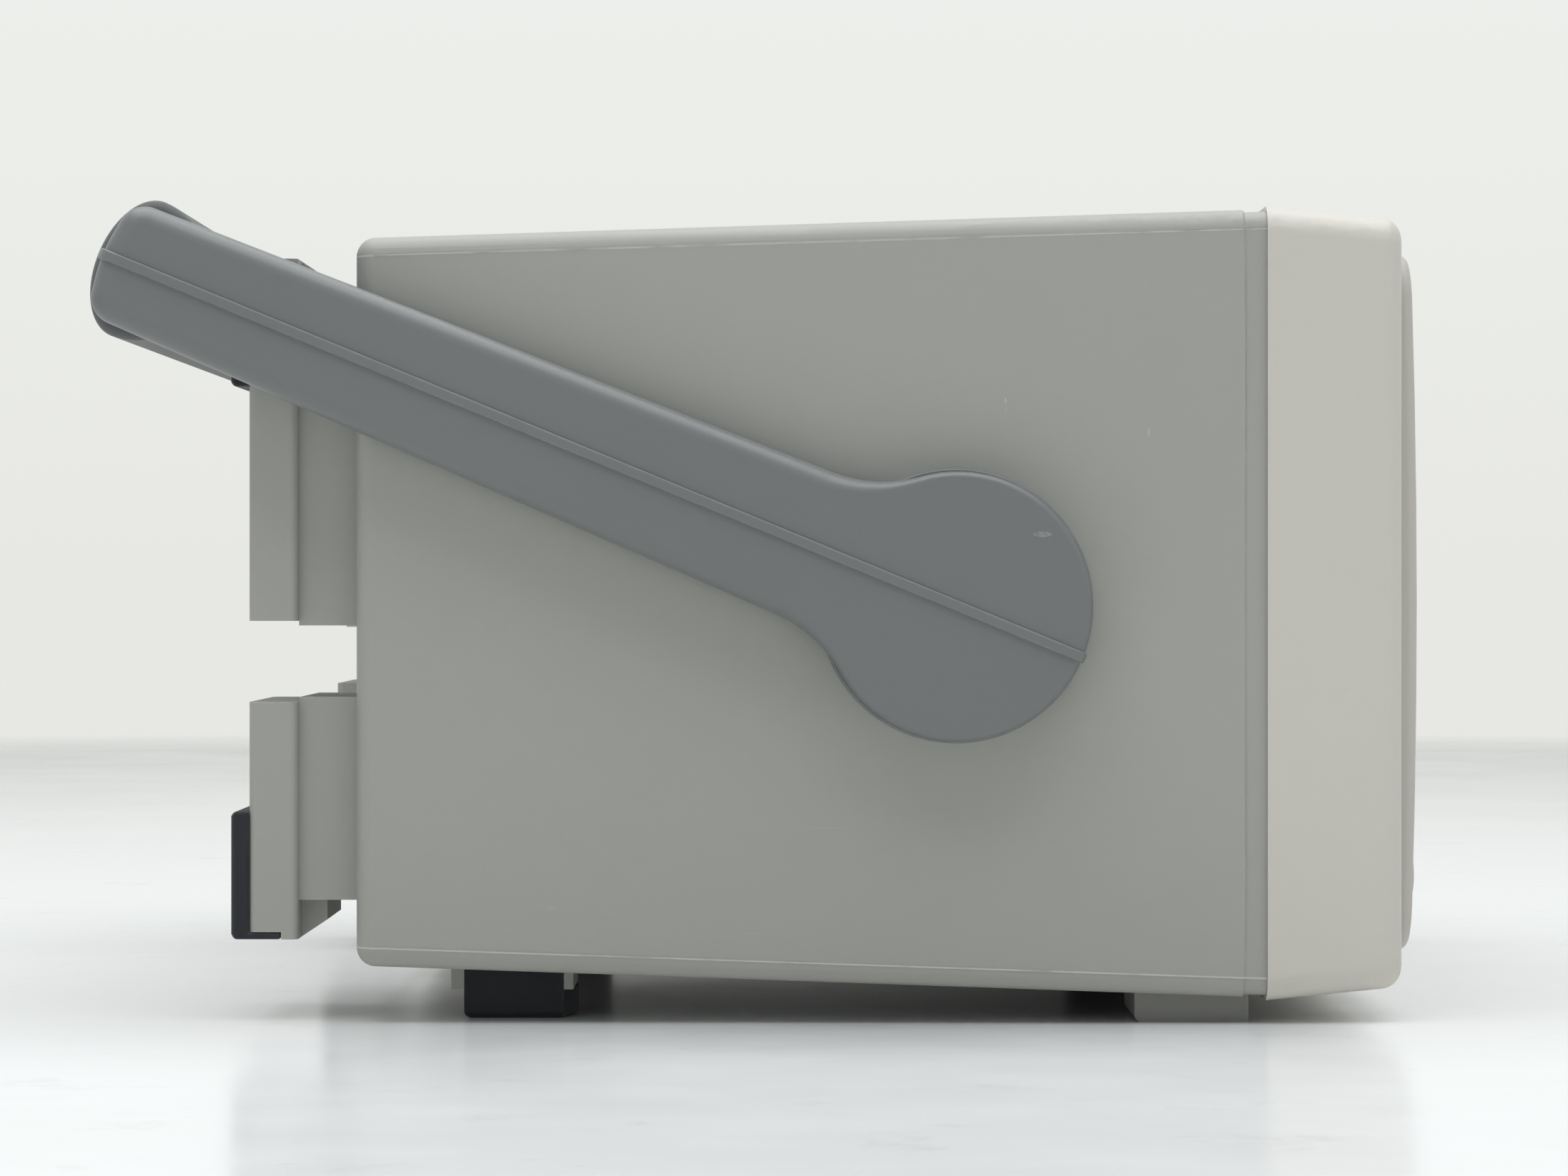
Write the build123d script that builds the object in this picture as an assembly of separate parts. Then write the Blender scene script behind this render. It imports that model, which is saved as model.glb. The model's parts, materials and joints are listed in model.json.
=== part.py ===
"""Portable bench digital oscilloscope with a swinging carry handle, in millimetres.

Working frame: X across (left is -X as seen by a person facing the screen), Y from the
bezel's front edge towards the rear, Z up from the surface that the feet stand on.
At the end every piece is moved along Y, so that the origin is under the middle of the
whole object's box.
"""
import math
import os

from build123d import *

# ---- overall cabinet -------------------------------------------------------
CASE_WIDTH = 340.0
BEZEL_DEPTH = 35.2          # front edge to the bezel's rear lip
COLLAR_LENGTH = 5.7         # narrow sunk strip between bezel and case
CASE_REAR = 269.2           # rear wall's outer face
CASE_TOP_FRONT = 209.3
CASE_TOP_FALL = 7.3         # the top comes down by this much towards the rear
CASE_BOTTOM_FRONT = 6.8
CASE_BOTTOM_RISE = 8.0      # the bottom rises by this much towards the rear
CASE_WALL = 3.0
CASE_EDGE_RADIUS = 5.0
CASE_FRONT_CHAMFER = 0.5    # along the case's front edge, above the collar
COLLAR_DROP = 0.6           # how far the collar lies under the case's surface
COLLAR_OVERLAP = 3.7        # how far the collar runs inside the bezel's lip
SEAM_INSET = 4.9            # parting seams, in from the top and bottom edges
SEAM_WIDTH = 0.5
SEAM_HEIGHT = 0.15
VENT_COUNT = 12
VENT_WIDTH = 3.0
VENT_LENGTH = 34.0
VENT_PITCH = 9.0
VENT_START = 120.0
ASSEMBLY_GAP = 0.3          # between fixed pieces that are put in by hand
CUT_PAST = 1.0              # how far a cut runs past the faces it opens
FIND_WITHIN = 0.01          # an edge this close to a place counts as lying there

# ---- front bezel and panel -------------------------------------------------
BEZEL_PROUD = 0.8           # lip above the case's surface
BEZEL_DRAFT = 5.2           # degrees, towards the front
BEZEL_WALL = 3.0
BEZEL_LONG_RADIUS = 7.0
BEZEL_FRONT_RADIUS = 5.5
LIP_GAP = 0.2
PANEL_SIDE_MARGIN = 14.0    # bezel side to panel edge
PANEL_TOP_MARGIN = 10.3     # case's highest edge to panel edge
PANEL_BOTTOM_MARGIN = 10.7
PANEL_PROUD = 5.0           # highest point in front of the bezel's front edge
PANEL_CROWN = 1.6           # bow of the panel over its height
PANEL_CORNER = 12.0
PANEL_EDGE_RADIUS = 2.6
PANEL_BACK = -0.6           # flat rear face of the panel's plate
PANEL_SKIRT = 3.0
PANEL_FLANGE = 4.0
PANEL_FLANGE_THICKNESS = 2.0

# ---- display ---------------------------------------------------------------
WINDOW_WIDTH = 164.0
WINDOW_HEIGHT = 124.0
WINDOW_CORNER = 3.0
WINDOW_FROM_LEFT = 13.8     # panel edge to display opening
WINDOW_FROM_TOP = 14.0
WINDOW_THICKNESS = 2.0
WINDOW_LEDGE = 4.0
LCD_MARGIN = 6.0
LCD_THICKNESS = 9.0
LCD_SINK = 0.5
BRACKET_THICKNESS = 1.2
BRACKET_LUG = 12.0
BRACKET_LUG_HEIGHT = 8.0

# ---- keys and knobs --------------------------------------------------------
KEY_GAP = 0.3               # side play of a key in its hole
KEY_PROUD = 1.8
KEY_FLANGE = 1.2
KEY_TRAVEL = 1.2
KEY_EDGE = 0.9
FLANGE_PLAY = 0.1           # a key's flange to the panel's rear face
SWITCH_HEIGHT = 2.6
SWITCH_RADIUS = 2.0
SWITCH_BODY_RADIUS = 3.0
SOFT_KEY_COUNT = 5
SOFT_KEY_WIDTH = 13.0
SOFT_KEY_HEIGHT = 8.0
SOFT_KEY_OFFSET = 14.0      # display opening to the keys' middle
SOFT_KEY_PITCH = 23.0
CHANNEL_COUNT = 4
CHANNEL_PITCH = 26.0
CHANNEL_FROM_RIGHT = 16.8   # last channel to the panel's edge
CHANNEL_KEY_WIDTH = 13.0
CHANNEL_KEY_HEIGHT = 8.0
CHANNEL_KEY_ABOVE = 32.0    # channel key above its socket
RUN_KEY_WIDTH = 20.0
RUN_KEY_HEIGHT = 10.0
RUN_KEY_FROM_RIGHT = 28.8
RUN_KEY_FROM_TOP = 31.0
KNOB_LENGTH = 14.0
KNOB_SKIRT_LENGTH = 3.5
KNOB_STEP = 1.2
KNOB_EDGE = 1.5
KNOB_DISH_DEPTH = 0.6
KNOB_DISH_RIM = 4.0
KNOB_GAP = 1.0              # knob's rear face to the panel's highest point
KNOB_SHAFT_RADIUS = 3.0
SHAFT_PLAY = 0.05
SHAFT_DEPTH = 7.0           # how far a knob's shaft runs into its bush
BUSH_WALL = 1.6
BUSH_SETBACK = 0.6
ENCODER_HALF = 6.5
ENCODER_LENGTH = 2.0        # part of the shaft's depth that the encoder's body holds
JOG_RADIUS = 17.0
JOG_FROM_RIGHT = 76.8
JOG_FROM_TOP = 35.0
SMALL_KNOB_RADIUS = 10.5
SMALL_KNOB_FROM_RIGHT = 20.8
SMALL_KNOB_PITCH = 35.0
SMALL_KNOB_BELOW = 52.0     # below the jog knob
POWER_RADIUS = 6.5
POWER_FROM_LEFT = 20.8
POWER_EDGE = 1.0
POWER_STEM_END = 22.0
LOWER_ROW = 19.5            # panel's lower edge to the power button and the drive

# ---- boards and drive ------------------------------------------------------
BOARD_THICKNESS = 1.6
CONTROL_BOARD_Y = 9.0
BOARD_MARGIN = 12.0
BOARD_TOP_GAP = 8.0
KEY_BOARD_OVERLAP = 0.8
DRIVE_WIDTH = 101.0
DRIVE_HEIGHT = 18.0
DRIVE_FRONT = -2.2
DRIVE_REAR_GAP = 34.2       # drive to the power supply behind it
DRIVE_REAR_BLOCK = 28.0     # solid rear part of the drive
DISK_SLOT_WIDTH = 92.0
DISK_SLOT_HEIGHT = 5.0
DISK_SLOT_RISE = 4.0        # slot's middle above the drive's middle
EJECT_WIDTH = 9.0
EJECT_HEIGHT = 4.0
EJECT_DROP = 4.5            # button's middle under the drive's middle
EJECT_FROM_RIGHT = 9.0
EJECT_TRAVEL = 3.0
EJECT_PROUD = 3.5
EJECT_POCKET = 12.0
EJECT_EDGE = 0.6

# ---- coaxial sockets and calibrator ----------------------------------------
SOCKET_ROW = 24.5           # panel's lower edge to the sockets' middle
SOCKET_RADIUS = 4.8
SOCKET_BORE = 4.05
SOCKET_BORE_DEPTH = 9.0
SOCKET_LENGTH = 15.0
SOCKET_TAIL = 18.0
SOCKET_BODY_RADIUS = 6.2
SOCKET_FLANGE = 9.0
SOCKET_FLANGE_THICKNESS = 1.6
LUG_RADIUS = 1.0
LUG_SPAN = 11.0
LUG_SETBACK = 5.0
CONTACT_RADIUS = 2.4
CONTACT_BORE = 0.7
CONTACT_SETBACK = 3.0
CONTACT_DEPTH = 5.0
POST_RADIUS = 1.6
POST_SLEEVE = 1.4
POST_ROW = 18.5
POST_PITCH = 12.0
POST_LENGTH = 9.0
POST_SLEEVE_LENGTH = 1.0
POST_CARRIER_HEIGHT = 12.0
POST_CARRIER_THICKNESS = 3.0

# ---- chassis, boards and supply --------------------------------------------
SHEET = 1.5
CHASSIS_SIDE_GAP = 3.5      # case's inner wall to the chassis side
CHASSIS_FLOOR_RISE = 4.7    # chassis floor above the case's rear bottom edge
CHASSIS_TOP_DROP = 6.0
CHASSIS_FRONT = 27.0
FRONT_PLATE_SIDE = 20.0     # frame left beside the front plate's opening
FRONT_PLATE_TOP = 30.0
STANDOFF = 6.0
STANDOFF_RADIUS = 3.0
STANDOFF_INSET = 6.0
MAIN_BOARD_LEFT = -10.0
MAIN_BOARD_GAP = 12.0
MAIN_BOARD_LENGTH = 106.0
MAIN_BOARD_REAR_GAP = 11.4  # to the fan
BOARD_PARTS = ((25.0, 28.0, 17.0, 4.0), (75.0, 28.0, 14.0, 4.0),     # X, distance behind the
               (120.0, 28.0, 14.0, 9.0), (50.0, 78.0, 12.0, 12.0))   # front edge, half, height
SUPPLY_GAP = 10.0
SUPPLY_WIDTH = 82.0
SUPPLY_LENGTH = 86.0
SUPPLY_REAR_GAP = 3.4       # to the fan's front face
SUPPLY_TOP = 130.0
SUPPLY_SLOTS = 9
SUPPLY_SLOT_WIDTH = 3.0
SUPPLY_SLOT_PITCH = 8.0
CAN_GAP = 6.0               # screened can to the main board
CAN_RISE = 18.0             # screened can's top above the sockets' middle
CAN_GROOVE = 1.0

# ---- rear ------------------------------------------------------------------
REAR_OPENING_SIDE = 5.0     # rear opening to the feet
REAR_OPENING_RISE = 19.2
REAR_OPENING_DROP = 16.0
REAR_PLATE_GAP = 2.5        # inside the chassis sides
FAN_SIZE = 80.0
FAN_DEPTH = 25.0
FAN_X = 42.0
FAN_FROM_TOP = 64.0
FAN_WALL = 1.4
FAN_HOLE_INSET = 4.25
FAN_HUB = 15.0
FAN_BLADES = 7
FAN_SHAFT_RADIUS = 1.5
FAN_TIP_GAP = 1.1
STRUT_DEPTH = 3.5
STRUT_WIDTH = 3.0
BEARING_RADIUS = 4.0
BEARING_LENGTH = 9.0
ROTOR_GAP = 1.0
HUB_WALL = 1.8
BEARING_FLOOR = 1.0
BLADE_THICKNESS = 1.4
BLADE_PITCH = 38.0
BLADE_CHORD = 19.0
GUARD_WIRE = 1.1
GUARD_RINGS = 4
GUARD_RING_PITCH = 8.0
GUARD_EYE = 4.2
INLET_X = -58.0
INLET_FROM_BOTTOM = 24.0
INLET_MOUTH_WIDTH = 24.6
INLET_MOUTH_HEIGHT = 16.8
INLET_WALL = 2.0
INLET_CORNER = 3.0
INLET_DEPTH = 16.0
INLET_FLANGE = 2.4
INLET_FLANGE_WIDTH = 48.0
INLET_FLANGE_HEIGHT = 24.0
BLADE_CONTACT_WIDTH = 2.0
BLADE_CONTACT_HEIGHT = 4.0
BLADE_CONTACT_PITCH = 7.0
BLADE_CONTACT_SETBACK = 3.0
BLADE_LOW = -2.5            # outer blades under the mouth's middle
BLADE_HIGH = 1.5            # earth blade above it
BUS_X = -52.0
BUS_FROM_TOP = 34.0
BUS_SHELL = 6.5
BUS_WIDTH = 56.0
BUS_HEIGHT = 15.0
BUS_WALL = 2.0
BUS_TONGUE = 2.4
BUS_TONGUE_INSET = 5.0
BUS_TONGUE_SETBACK = 1.0
BUS_TAIL = 8.0
BUS_CORNER = 3.0
BUS_RIM = 1.5
BUS_FLANGE_WIDTH = 74.0
BUS_FLANGE_THICKNESS = 1.2
JACK_POST_RADIUS = 2.6
JACK_POST_INSET = 4.0
REAR_SOCKET_X = -58.0
REAR_SOCKET_ABOVE = 48.0    # above the mains inlet

# ---- fasteners -------------------------------------------------------------
CASE_SCREW_RADIUS = 1.5
FOOT_SCREW_RADIUS = 1.9
FAN_SCREW_RADIUS = 1.8
SCREW_PLAY = 0.2
HEAD_HEIGHT = 2.2
HEAD_RATIO = 1.9
CASE_SCREW_INSET = 8.0
CASE_SCREW_RISE = 6.5
CASE_SCREW_END = 2.0        # screws run this far past the rear plate
FAN_SCREW_END = 20.0
FOOT_SCREW_END = 4.0
HEAD_ROUNDING = 0.45        # shares of the head's height
RECESS_DEPTH = 0.6
RECESS_SPAN = 1.1           # shares of the shank's radius
RECESS_WIDTH = 0.22
FOOT_SCREW_INSET = 14.0
FOOT_SCREW_PITCH = 34.0
COUNTERBORE_RADIUS = 4.6
COUNTERBORE_DEPTH = 4.0

# ---- feet ------------------------------------------------------------------
FRONT_FOOT_SETBACK = 4.1    # behind the bezel
FRONT_FOOT_LENGTH = 29.4
FRONT_FOOT_INSET = 9.0
FRONT_FOOT_WIDTH = 40.0
FRONT_FOOT_RADIUS = 1.7
PAD_FROM_REAR = 26.7
PAD_LENGTH = 26.0
PAD_INSET = 20.0
PAD_WIDTH = 32.0
PAD_BULGE = 3.2
PAD_RADIUS = 1.9
LIP_HEIGHT = 7.5            # the pad socket's end lips reach down to here
FRONT_LIP = 2.4
REAR_LIP = 3.4
REAR_FOOT_INSET = 8.0
REAR_FOOT_WIDTH = 65.0
REAR_FOOT_RADIUS = 2.0
WEB_LENGTH = 15.5
FLANGE_LENGTH = 12.6
WEB_INSET = 4.0
WEB_TIP_INSET = 10.0
WEB_END_OVERHANG = 1.2
GUSSET_LENGTH = 6.6
GUSSET_DROP = 4.4
GUSSET_INSET = 12.0
BUMPER_THICKNESS = 4.7
BUMPER_WRAP = 1.9
BUMPER_RUN = 8.3            # how far the bumper wraps along the flange's end
BUMPER_SPAN = 33.0
BUMPER_RADIUS = 1.6
UPPER_FOOT_DROP = 5.0       # upper foot's tip under the case's rear top edge
UPPER_FOOT_HEIGHT = 93.5
LOWER_FOOT_RISE = 6.5       # lower foot's tip above the case's rear bottom edge
LOWER_FOOT_HEIGHT = 61.3

# ---- carry handle ----------------------------------------------------------
PIVOT_Y = 115.2
PIVOT_Z = 107.4
HANDLE_ANGLE = 22.4         # degrees above level, pointing to the rear
BASE_DISC_RIM = 1.0         # the base disc shows this much round the hub
BASE_DISC_THICKNESS = 2.0
BASE_DISC_EDGE = 0.6
HUB_RADIUS = 34.2
HANDLE_GAP = 0.3            # base disc to arm
ARM_THICKNESS = 13.0
ARM_PAST_GRIP = 8.0         # arm's end past the grip's middle
ARM_HALF_AT_HUB = 20.3
ARM_HALF_AT_END = 15.6
ARM_END_RADIUS = 7.0
ARM_THROAT_RADIUS = 35.0
ARM_EDGE_RADIUS = 3.5
RIB_WIDTH = 2.8
RIB_HEIGHT = 0.9
PIVOT_RADIUS = 9.0
PIVOT_LENGTH = 8.0
STUD_RADIUS = 5.0
STUD_LENGTH = 8.0
GRIP_CLEARANCE = 1.8        # grip to the rear bumpers as it swings past them
GRIP_HALF_HEIGHT = 18.5
GRIP_OUTER = 11.0
GRIP_INNER = 18.0
GRIP_END_GAP = 1.0
GRIP_FIT = 0.1
CORE_WIDTH = 15.0
CORE_HEIGHT = 24.0
CORE_CORNER = 4.0
TENON_INSET = 3.0
TENON_SHIFT = 1.0
TENON_DEPTH = 6.0

# ---- worked out from the sizes above ---------------------------------------
CASE_HALF = CASE_WIDTH / 2
CASE_FRONT = BEZEL_DEPTH + COLLAR_LENGTH
CASE_TOP_REAR = CASE_TOP_FRONT - CASE_TOP_FALL
CASE_BOTTOM_REAR = CASE_BOTTOM_FRONT + CASE_BOTTOM_RISE
COLLAR_FRONT = BEZEL_DEPTH - COLLAR_OVERLAP
PANEL_HALF = CASE_HALF + BEZEL_PROUD - PANEL_SIDE_MARGIN
PANEL_TOP = CASE_TOP_FRONT - PANEL_TOP_MARGIN
PANEL_BOTTOM = CASE_BOTTOM_FRONT + PANEL_BOTTOM_MARGIN
PANEL_MID = (PANEL_TOP + PANEL_BOTTOM) / 2
PANEL_HEIGHT = PANEL_TOP - PANEL_BOTTOM
PANEL_BOW = (PANEL_HEIGHT / 2) ** 2 / (2 * PANEL_CROWN) + PANEL_CROWN / 2
WINDOW_X = -PANEL_HALF + WINDOW_FROM_LEFT + WINDOW_WIDTH / 2
WINDOW_Z = PANEL_TOP - WINDOW_FROM_TOP - WINDOW_HEIGHT / 2
WINDOW_FRONT = PANEL_BACK
WINDOW_REAR = WINDOW_FRONT + WINDOW_THICKNESS
LCD_FRONT = WINDOW_REAR + ASSEMBLY_GAP
LCD_REAR = LCD_FRONT + LCD_THICKNESS
SOFT_KEY_X = WINDOW_X + WINDOW_WIDTH / 2 + SOFT_KEY_OFFSET
CHANNEL_X = PANEL_HALF - CHANNEL_FROM_RIGHT - (CHANNEL_COUNT - 1) * CHANNEL_PITCH
SOCKET_Z = PANEL_BOTTOM + SOCKET_ROW
CHANNEL_KEY_Z = SOCKET_Z + CHANNEL_KEY_ABOVE
RUN_KEY_X = PANEL_HALF - RUN_KEY_FROM_RIGHT
RUN_KEY_Z = PANEL_TOP - RUN_KEY_FROM_TOP
JOG_X = PANEL_HALF - JOG_FROM_RIGHT
JOG_Z = PANEL_TOP - JOG_FROM_TOP
SMALL_KNOB_X = PANEL_HALF - SMALL_KNOB_FROM_RIGHT - 2 * SMALL_KNOB_PITCH
SMALL_KNOB_Z = JOG_Z - SMALL_KNOB_BELOW
KNOB_REAR = -PANEL_PROUD - KNOB_GAP
KNOB_FRONT = KNOB_REAR - KNOB_LENGTH
KNOB_SKIRT_FRONT = KNOB_REAR - KNOB_SKIRT_LENGTH
BUSH_FRONT = -PANEL_PROUD + PANEL_CROWN
SHAFT_END = BUSH_FRONT + SHAFT_DEPTH
POWER_X = -PANEL_HALF + POWER_FROM_LEFT
POWER_Z = PANEL_BOTTOM + LOWER_ROW
DRIVE_X = WINDOW_X
DRIVE_Z = PANEL_BOTTOM + LOWER_ROW
DISK_SLOT_Z = DRIVE_Z + DISK_SLOT_RISE
EJECT_X = DRIVE_X + DRIVE_WIDTH / 2 - EJECT_FROM_RIGHT
EJECT_Z = DRIVE_Z - EJECT_DROP
POST_Z = PANEL_BOTTOM + POST_ROW
KEY_FLANGE_FRONT = PANEL_BACK + FLANGE_PLAY
KEY_FLANGE_REAR = KEY_FLANGE_FRONT + KEY_FLANGE
CHASSIS_HALF_WIDTH = CASE_HALF - CASE_WALL - CHASSIS_SIDE_GAP
CHASSIS_BOTTOM = CASE_BOTTOM_REAR + CHASSIS_FLOOR_RISE
CHASSIS_FLOOR = CHASSIS_BOTTOM + SHEET
CHASSIS_TOP = CASE_TOP_REAR - CHASSIS_TOP_DROP
REAR_PLATE_REAR = CASE_REAR - CASE_WALL - ASSEMBLY_GAP
REAR_PLATE_FRONT = REAR_PLATE_REAR - SHEET
REAR_OPENING_BOTTOM = CASE_BOTTOM_REAR + REAR_OPENING_RISE
REAR_OPENING_TOP = CASE_TOP_REAR - REAR_OPENING_DROP
FAN_FRONT = REAR_PLATE_FRONT - FAN_DEPTH
MAIN_BOARD_REAR = FAN_FRONT - MAIN_BOARD_REAR_GAP
MAIN_BOARD_FRONT = MAIN_BOARD_REAR - MAIN_BOARD_LENGTH
CAN_REAR = MAIN_BOARD_FRONT - CAN_GAP
SUPPLY_REAR = FAN_FRONT - SUPPLY_REAR_GAP
SUPPLY_FRONT = SUPPLY_REAR - SUPPLY_LENGTH
DRIVE_REAR = SUPPLY_FRONT - DRIVE_REAR_GAP
DISK_SLOT_DEPTH = DRIVE_REAR - DRIVE_FRONT - DRIVE_REAR_BLOCK
FAN_Z = REAR_OPENING_TOP - FAN_FROM_TOP
FAN_BORE = FAN_SIZE / 2 - FAN_WALL
FAN_HOLE_HALF = FAN_SIZE / 2 - FAN_HOLE_INSET
STRUT_FRONT = REAR_PLATE_FRONT - STRUT_DEPTH
INLET_Z = REAR_OPENING_BOTTOM + INLET_FROM_BOTTOM
BUS_Z = REAR_OPENING_TOP - BUS_FROM_TOP
BUS_REAR = REAR_PLATE_REAR + BUS_SHELL
REAR_SOCKET_Z = INLET_Z + REAR_SOCKET_ABOVE
FRONT_FOOT_START = BEZEL_DEPTH + FRONT_FOOT_SETBACK
FRONT_FOOT_END = FRONT_FOOT_START + FRONT_FOOT_LENGTH
PAD_END = CASE_REAR - PAD_FROM_REAR
PAD_START = PAD_END - PAD_LENGTH
FLANGE_START = CASE_REAR + WEB_LENGTH
FLANGE_END = FLANGE_START + FLANGE_LENGTH
BUMPER_REAR = FLANGE_END + BUMPER_THICKNESS
UPPER_FOOT_TIP = CASE_TOP_REAR - UPPER_FOOT_DROP
UPPER_FOOT_END = UPPER_FOOT_TIP - UPPER_FOOT_HEIGHT
LOWER_FOOT_TIP = CASE_BOTTOM_REAR + LOWER_FOOT_RISE
LOWER_FOOT_END = LOWER_FOOT_TIP + LOWER_FOOT_HEIGHT
FOOT_OUTER = CASE_HALF - REAR_FOOT_INSET
FOOT_INNER = FOOT_OUTER - REAR_FOOT_WIDTH
FOOT_SPANS = {"upper": (UPPER_FOOT_TIP, UPPER_FOOT_END),
              "lower": (LOWER_FOOT_TIP, LOWER_FOOT_END)}
REAR_OPENING_HALF = FOOT_INNER - REAR_OPENING_SIDE
BUMPER_REACH = max(math.hypot(BUMPER_REAR - PIVOT_Y, UPPER_FOOT_TIP - PIVOT_Z),
                   math.hypot(BUMPER_REAR - PIVOT_Y, PIVOT_Z - LOWER_FOOT_TIP))
GRIP_CENTRE = BUMPER_REACH + GRIP_CLEARANCE + GRIP_INNER
ARM_LENGTH = GRIP_CENTRE + ARM_PAST_GRIP
BASE_DISC_RADIUS = HUB_RADIUS + BASE_DISC_RIM
DISC_OUTER = CASE_HALF + BASE_DISC_THICKNESS
ARM_INNER = DISC_OUTER + HANDLE_GAP

SIDES = {"left": -1, "right": 1}


# ---- small helpers ---------------------------------------------------------
def block(x0, x1, y0, y1, z0, z1):
    """A box between two corners."""
    middle = Pos((x0 + x1) / 2, (y0 + y1) / 2, (z0 + z1) / 2)
    return middle * Box(abs(x1 - x0), abs(y1 - y0), abs(z1 - z0))


def centred(x, z, width, height, y0, y1):
    """A box about a middle in X and Z, between two stations along Y."""
    return block(x - width / 2, x + width / 2, y0, y1, z - height / 2, z + height / 2)


def rod(radius, y0, y1, x, z):
    """A cylinder that lies along Y."""
    return Pos(x, (y0 + y1) / 2, z) * Rot(90, 0, 0) * Cylinder(radius, abs(y1 - y0))


def rod_up(radius, z0, z1, x, y):
    """A cylinder that stands along Z."""
    return Pos(x, y, (z0 + z1) / 2) * Cylinder(radius, z1 - z0)


def cross_rod(radius, x0, x1, y, z):
    """A cylinder that lies along X."""
    return Pos((x0 + x1) / 2, y, z) * Rot(0, 90, 0) * Cylinder(radius, abs(x1 - x0))


def plate_across(width, height, corner, y0, y1, x, z):
    """A rounded plate that faces along Y."""
    outline = RectangleRounded(width, height, corner)
    face = Plane(origin=(x, y1, z), x_dir=(1, 0, 0), z_dir=(0, -1, 0)) * outline
    return extrude(face, amount=y1 - y0)


def side_profile(points, x0, x1):
    """A straight-sided outline in Y and Z, drawn out along X."""
    outline = Polygon(*points, align=None)
    return extrude(Plane.YZ.offset(x0) * outline, amount=x1 - x0, dir=(1, 0, 0))


def frustum(half0, low0, high0, y0, half1, low1, high1, y1):
    """A straight-sided body between two upright rectangles."""
    wires = []
    for half, low, high, y in ((half0, low0, high0, y0), (half1, low1, high1, y1)):
        corners = [(-half, y, low), (half, y, low), (half, y, high), (-half, y, high)]
        wires.append(Wire.make_polygon([Vector(*corner) for corner in corners]))
    return Solid.make_loft(wires, ruled=True)


def long_edges(body):
    """The four edges that run from front to rear."""
    return [edge for edge in body.edges() if abs((edge % 0.5).Y) > 0.9]


def front_edges(body):
    """The edges round a body's foremost face."""
    return body.faces().sort_by(Axis.Y)[0].edges()


def rear_edges(body):
    """The edges round a body's rearmost face."""
    return body.faces().sort_by(Axis.Y)[-1].edges()


def on_side(shape, sign):
    """A shape made for the right side, or its mirror image for the left."""
    if sign > 0:
        return shape
    return mirror(shape, about=Plane.YZ)


def case_top(y):
    """Height of the case's top surface."""
    return CASE_TOP_FRONT - CASE_TOP_FALL * (y - CASE_FRONT) / (CASE_REAR - CASE_FRONT)


def case_bottom(y):
    """Height of the case's bottom surface."""
    return CASE_BOTTOM_FRONT + CASE_BOTTOM_RISE * (y - CASE_FRONT) / (CASE_REAR - CASE_FRONT)


def case_slice(inset, y0, y1):
    """The case's outline, moved in by inset, between two stations."""
    half = CASE_HALF - inset
    return frustum(half, case_bottom(y0) + inset, case_top(y0) - inset, y0,
                   half, case_bottom(y1) + inset, case_top(y1) - inset, y1)


def panel_surface(z):
    """Y of the front panel's bowed surface at a height."""
    rise = PANEL_BOW - math.sqrt(PANEL_BOW ** 2 - (z - PANEL_MID) ** 2)
    return -PANEL_PROUD + rise


# ---- cabinet ---------------------------------------------------------------
def seam_ridges():
    """Fine moulding seams along both sides, just inside the top and bottom edges."""
    ridges = []
    runs = ((BEZEL_DEPTH + LIP_GAP, CASE_FRONT, COLLAR_DROP),
            (CASE_FRONT, CASE_REAR - CASE_EDGE_RADIUS, 0.0))
    for start, end, drop in runs:
        surface = CASE_HALF - drop
        for edge, way in ((case_top, -1), (case_bottom, 1)):
            first = edge(start) + way * SEAM_INSET
            last = edge(end) + way * SEAM_INSET
            points = [(start, first), (end, last),
                      (end, last + SEAM_WIDTH), (start, first + SEAM_WIDTH)]
            ridge = side_profile(points, surface - SEAM_WIDTH, surface + SEAM_HEIGHT)
            ridges += [ridge, on_side(ridge, -1)]
    return ridges


def pad_lips(sign):
    """End lips on the case's bottom, which hold a rubber pad."""
    outer = CASE_HALF - PAD_INSET
    inner = outer - PAD_WIDTH
    lips = []
    for start, end in ((PAD_START - FRONT_LIP, PAD_START), (PAD_END, PAD_END + REAR_LIP)):
        top = case_bottom(end) + CASE_WALL / 2
        lip = block(inner, outer, start, end, LIP_HEIGHT, top)
        lips.append(on_side(lip, sign))
    return lips


def bottom_vents():
    """Cooling slots through the case's bottom."""
    slots = []
    for index in range(VENT_COUNT):
        x = (index - (VENT_COUNT - 1) / 2) * VENT_PITCH
        slots.append(block(x - VENT_WIDTH / 2, x + VENT_WIDTH / 2,
                           VENT_START, VENT_START + VENT_LENGTH,
                           0.0, CASE_BOTTOM_REAR + CASE_WALL))
    return slots


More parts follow.
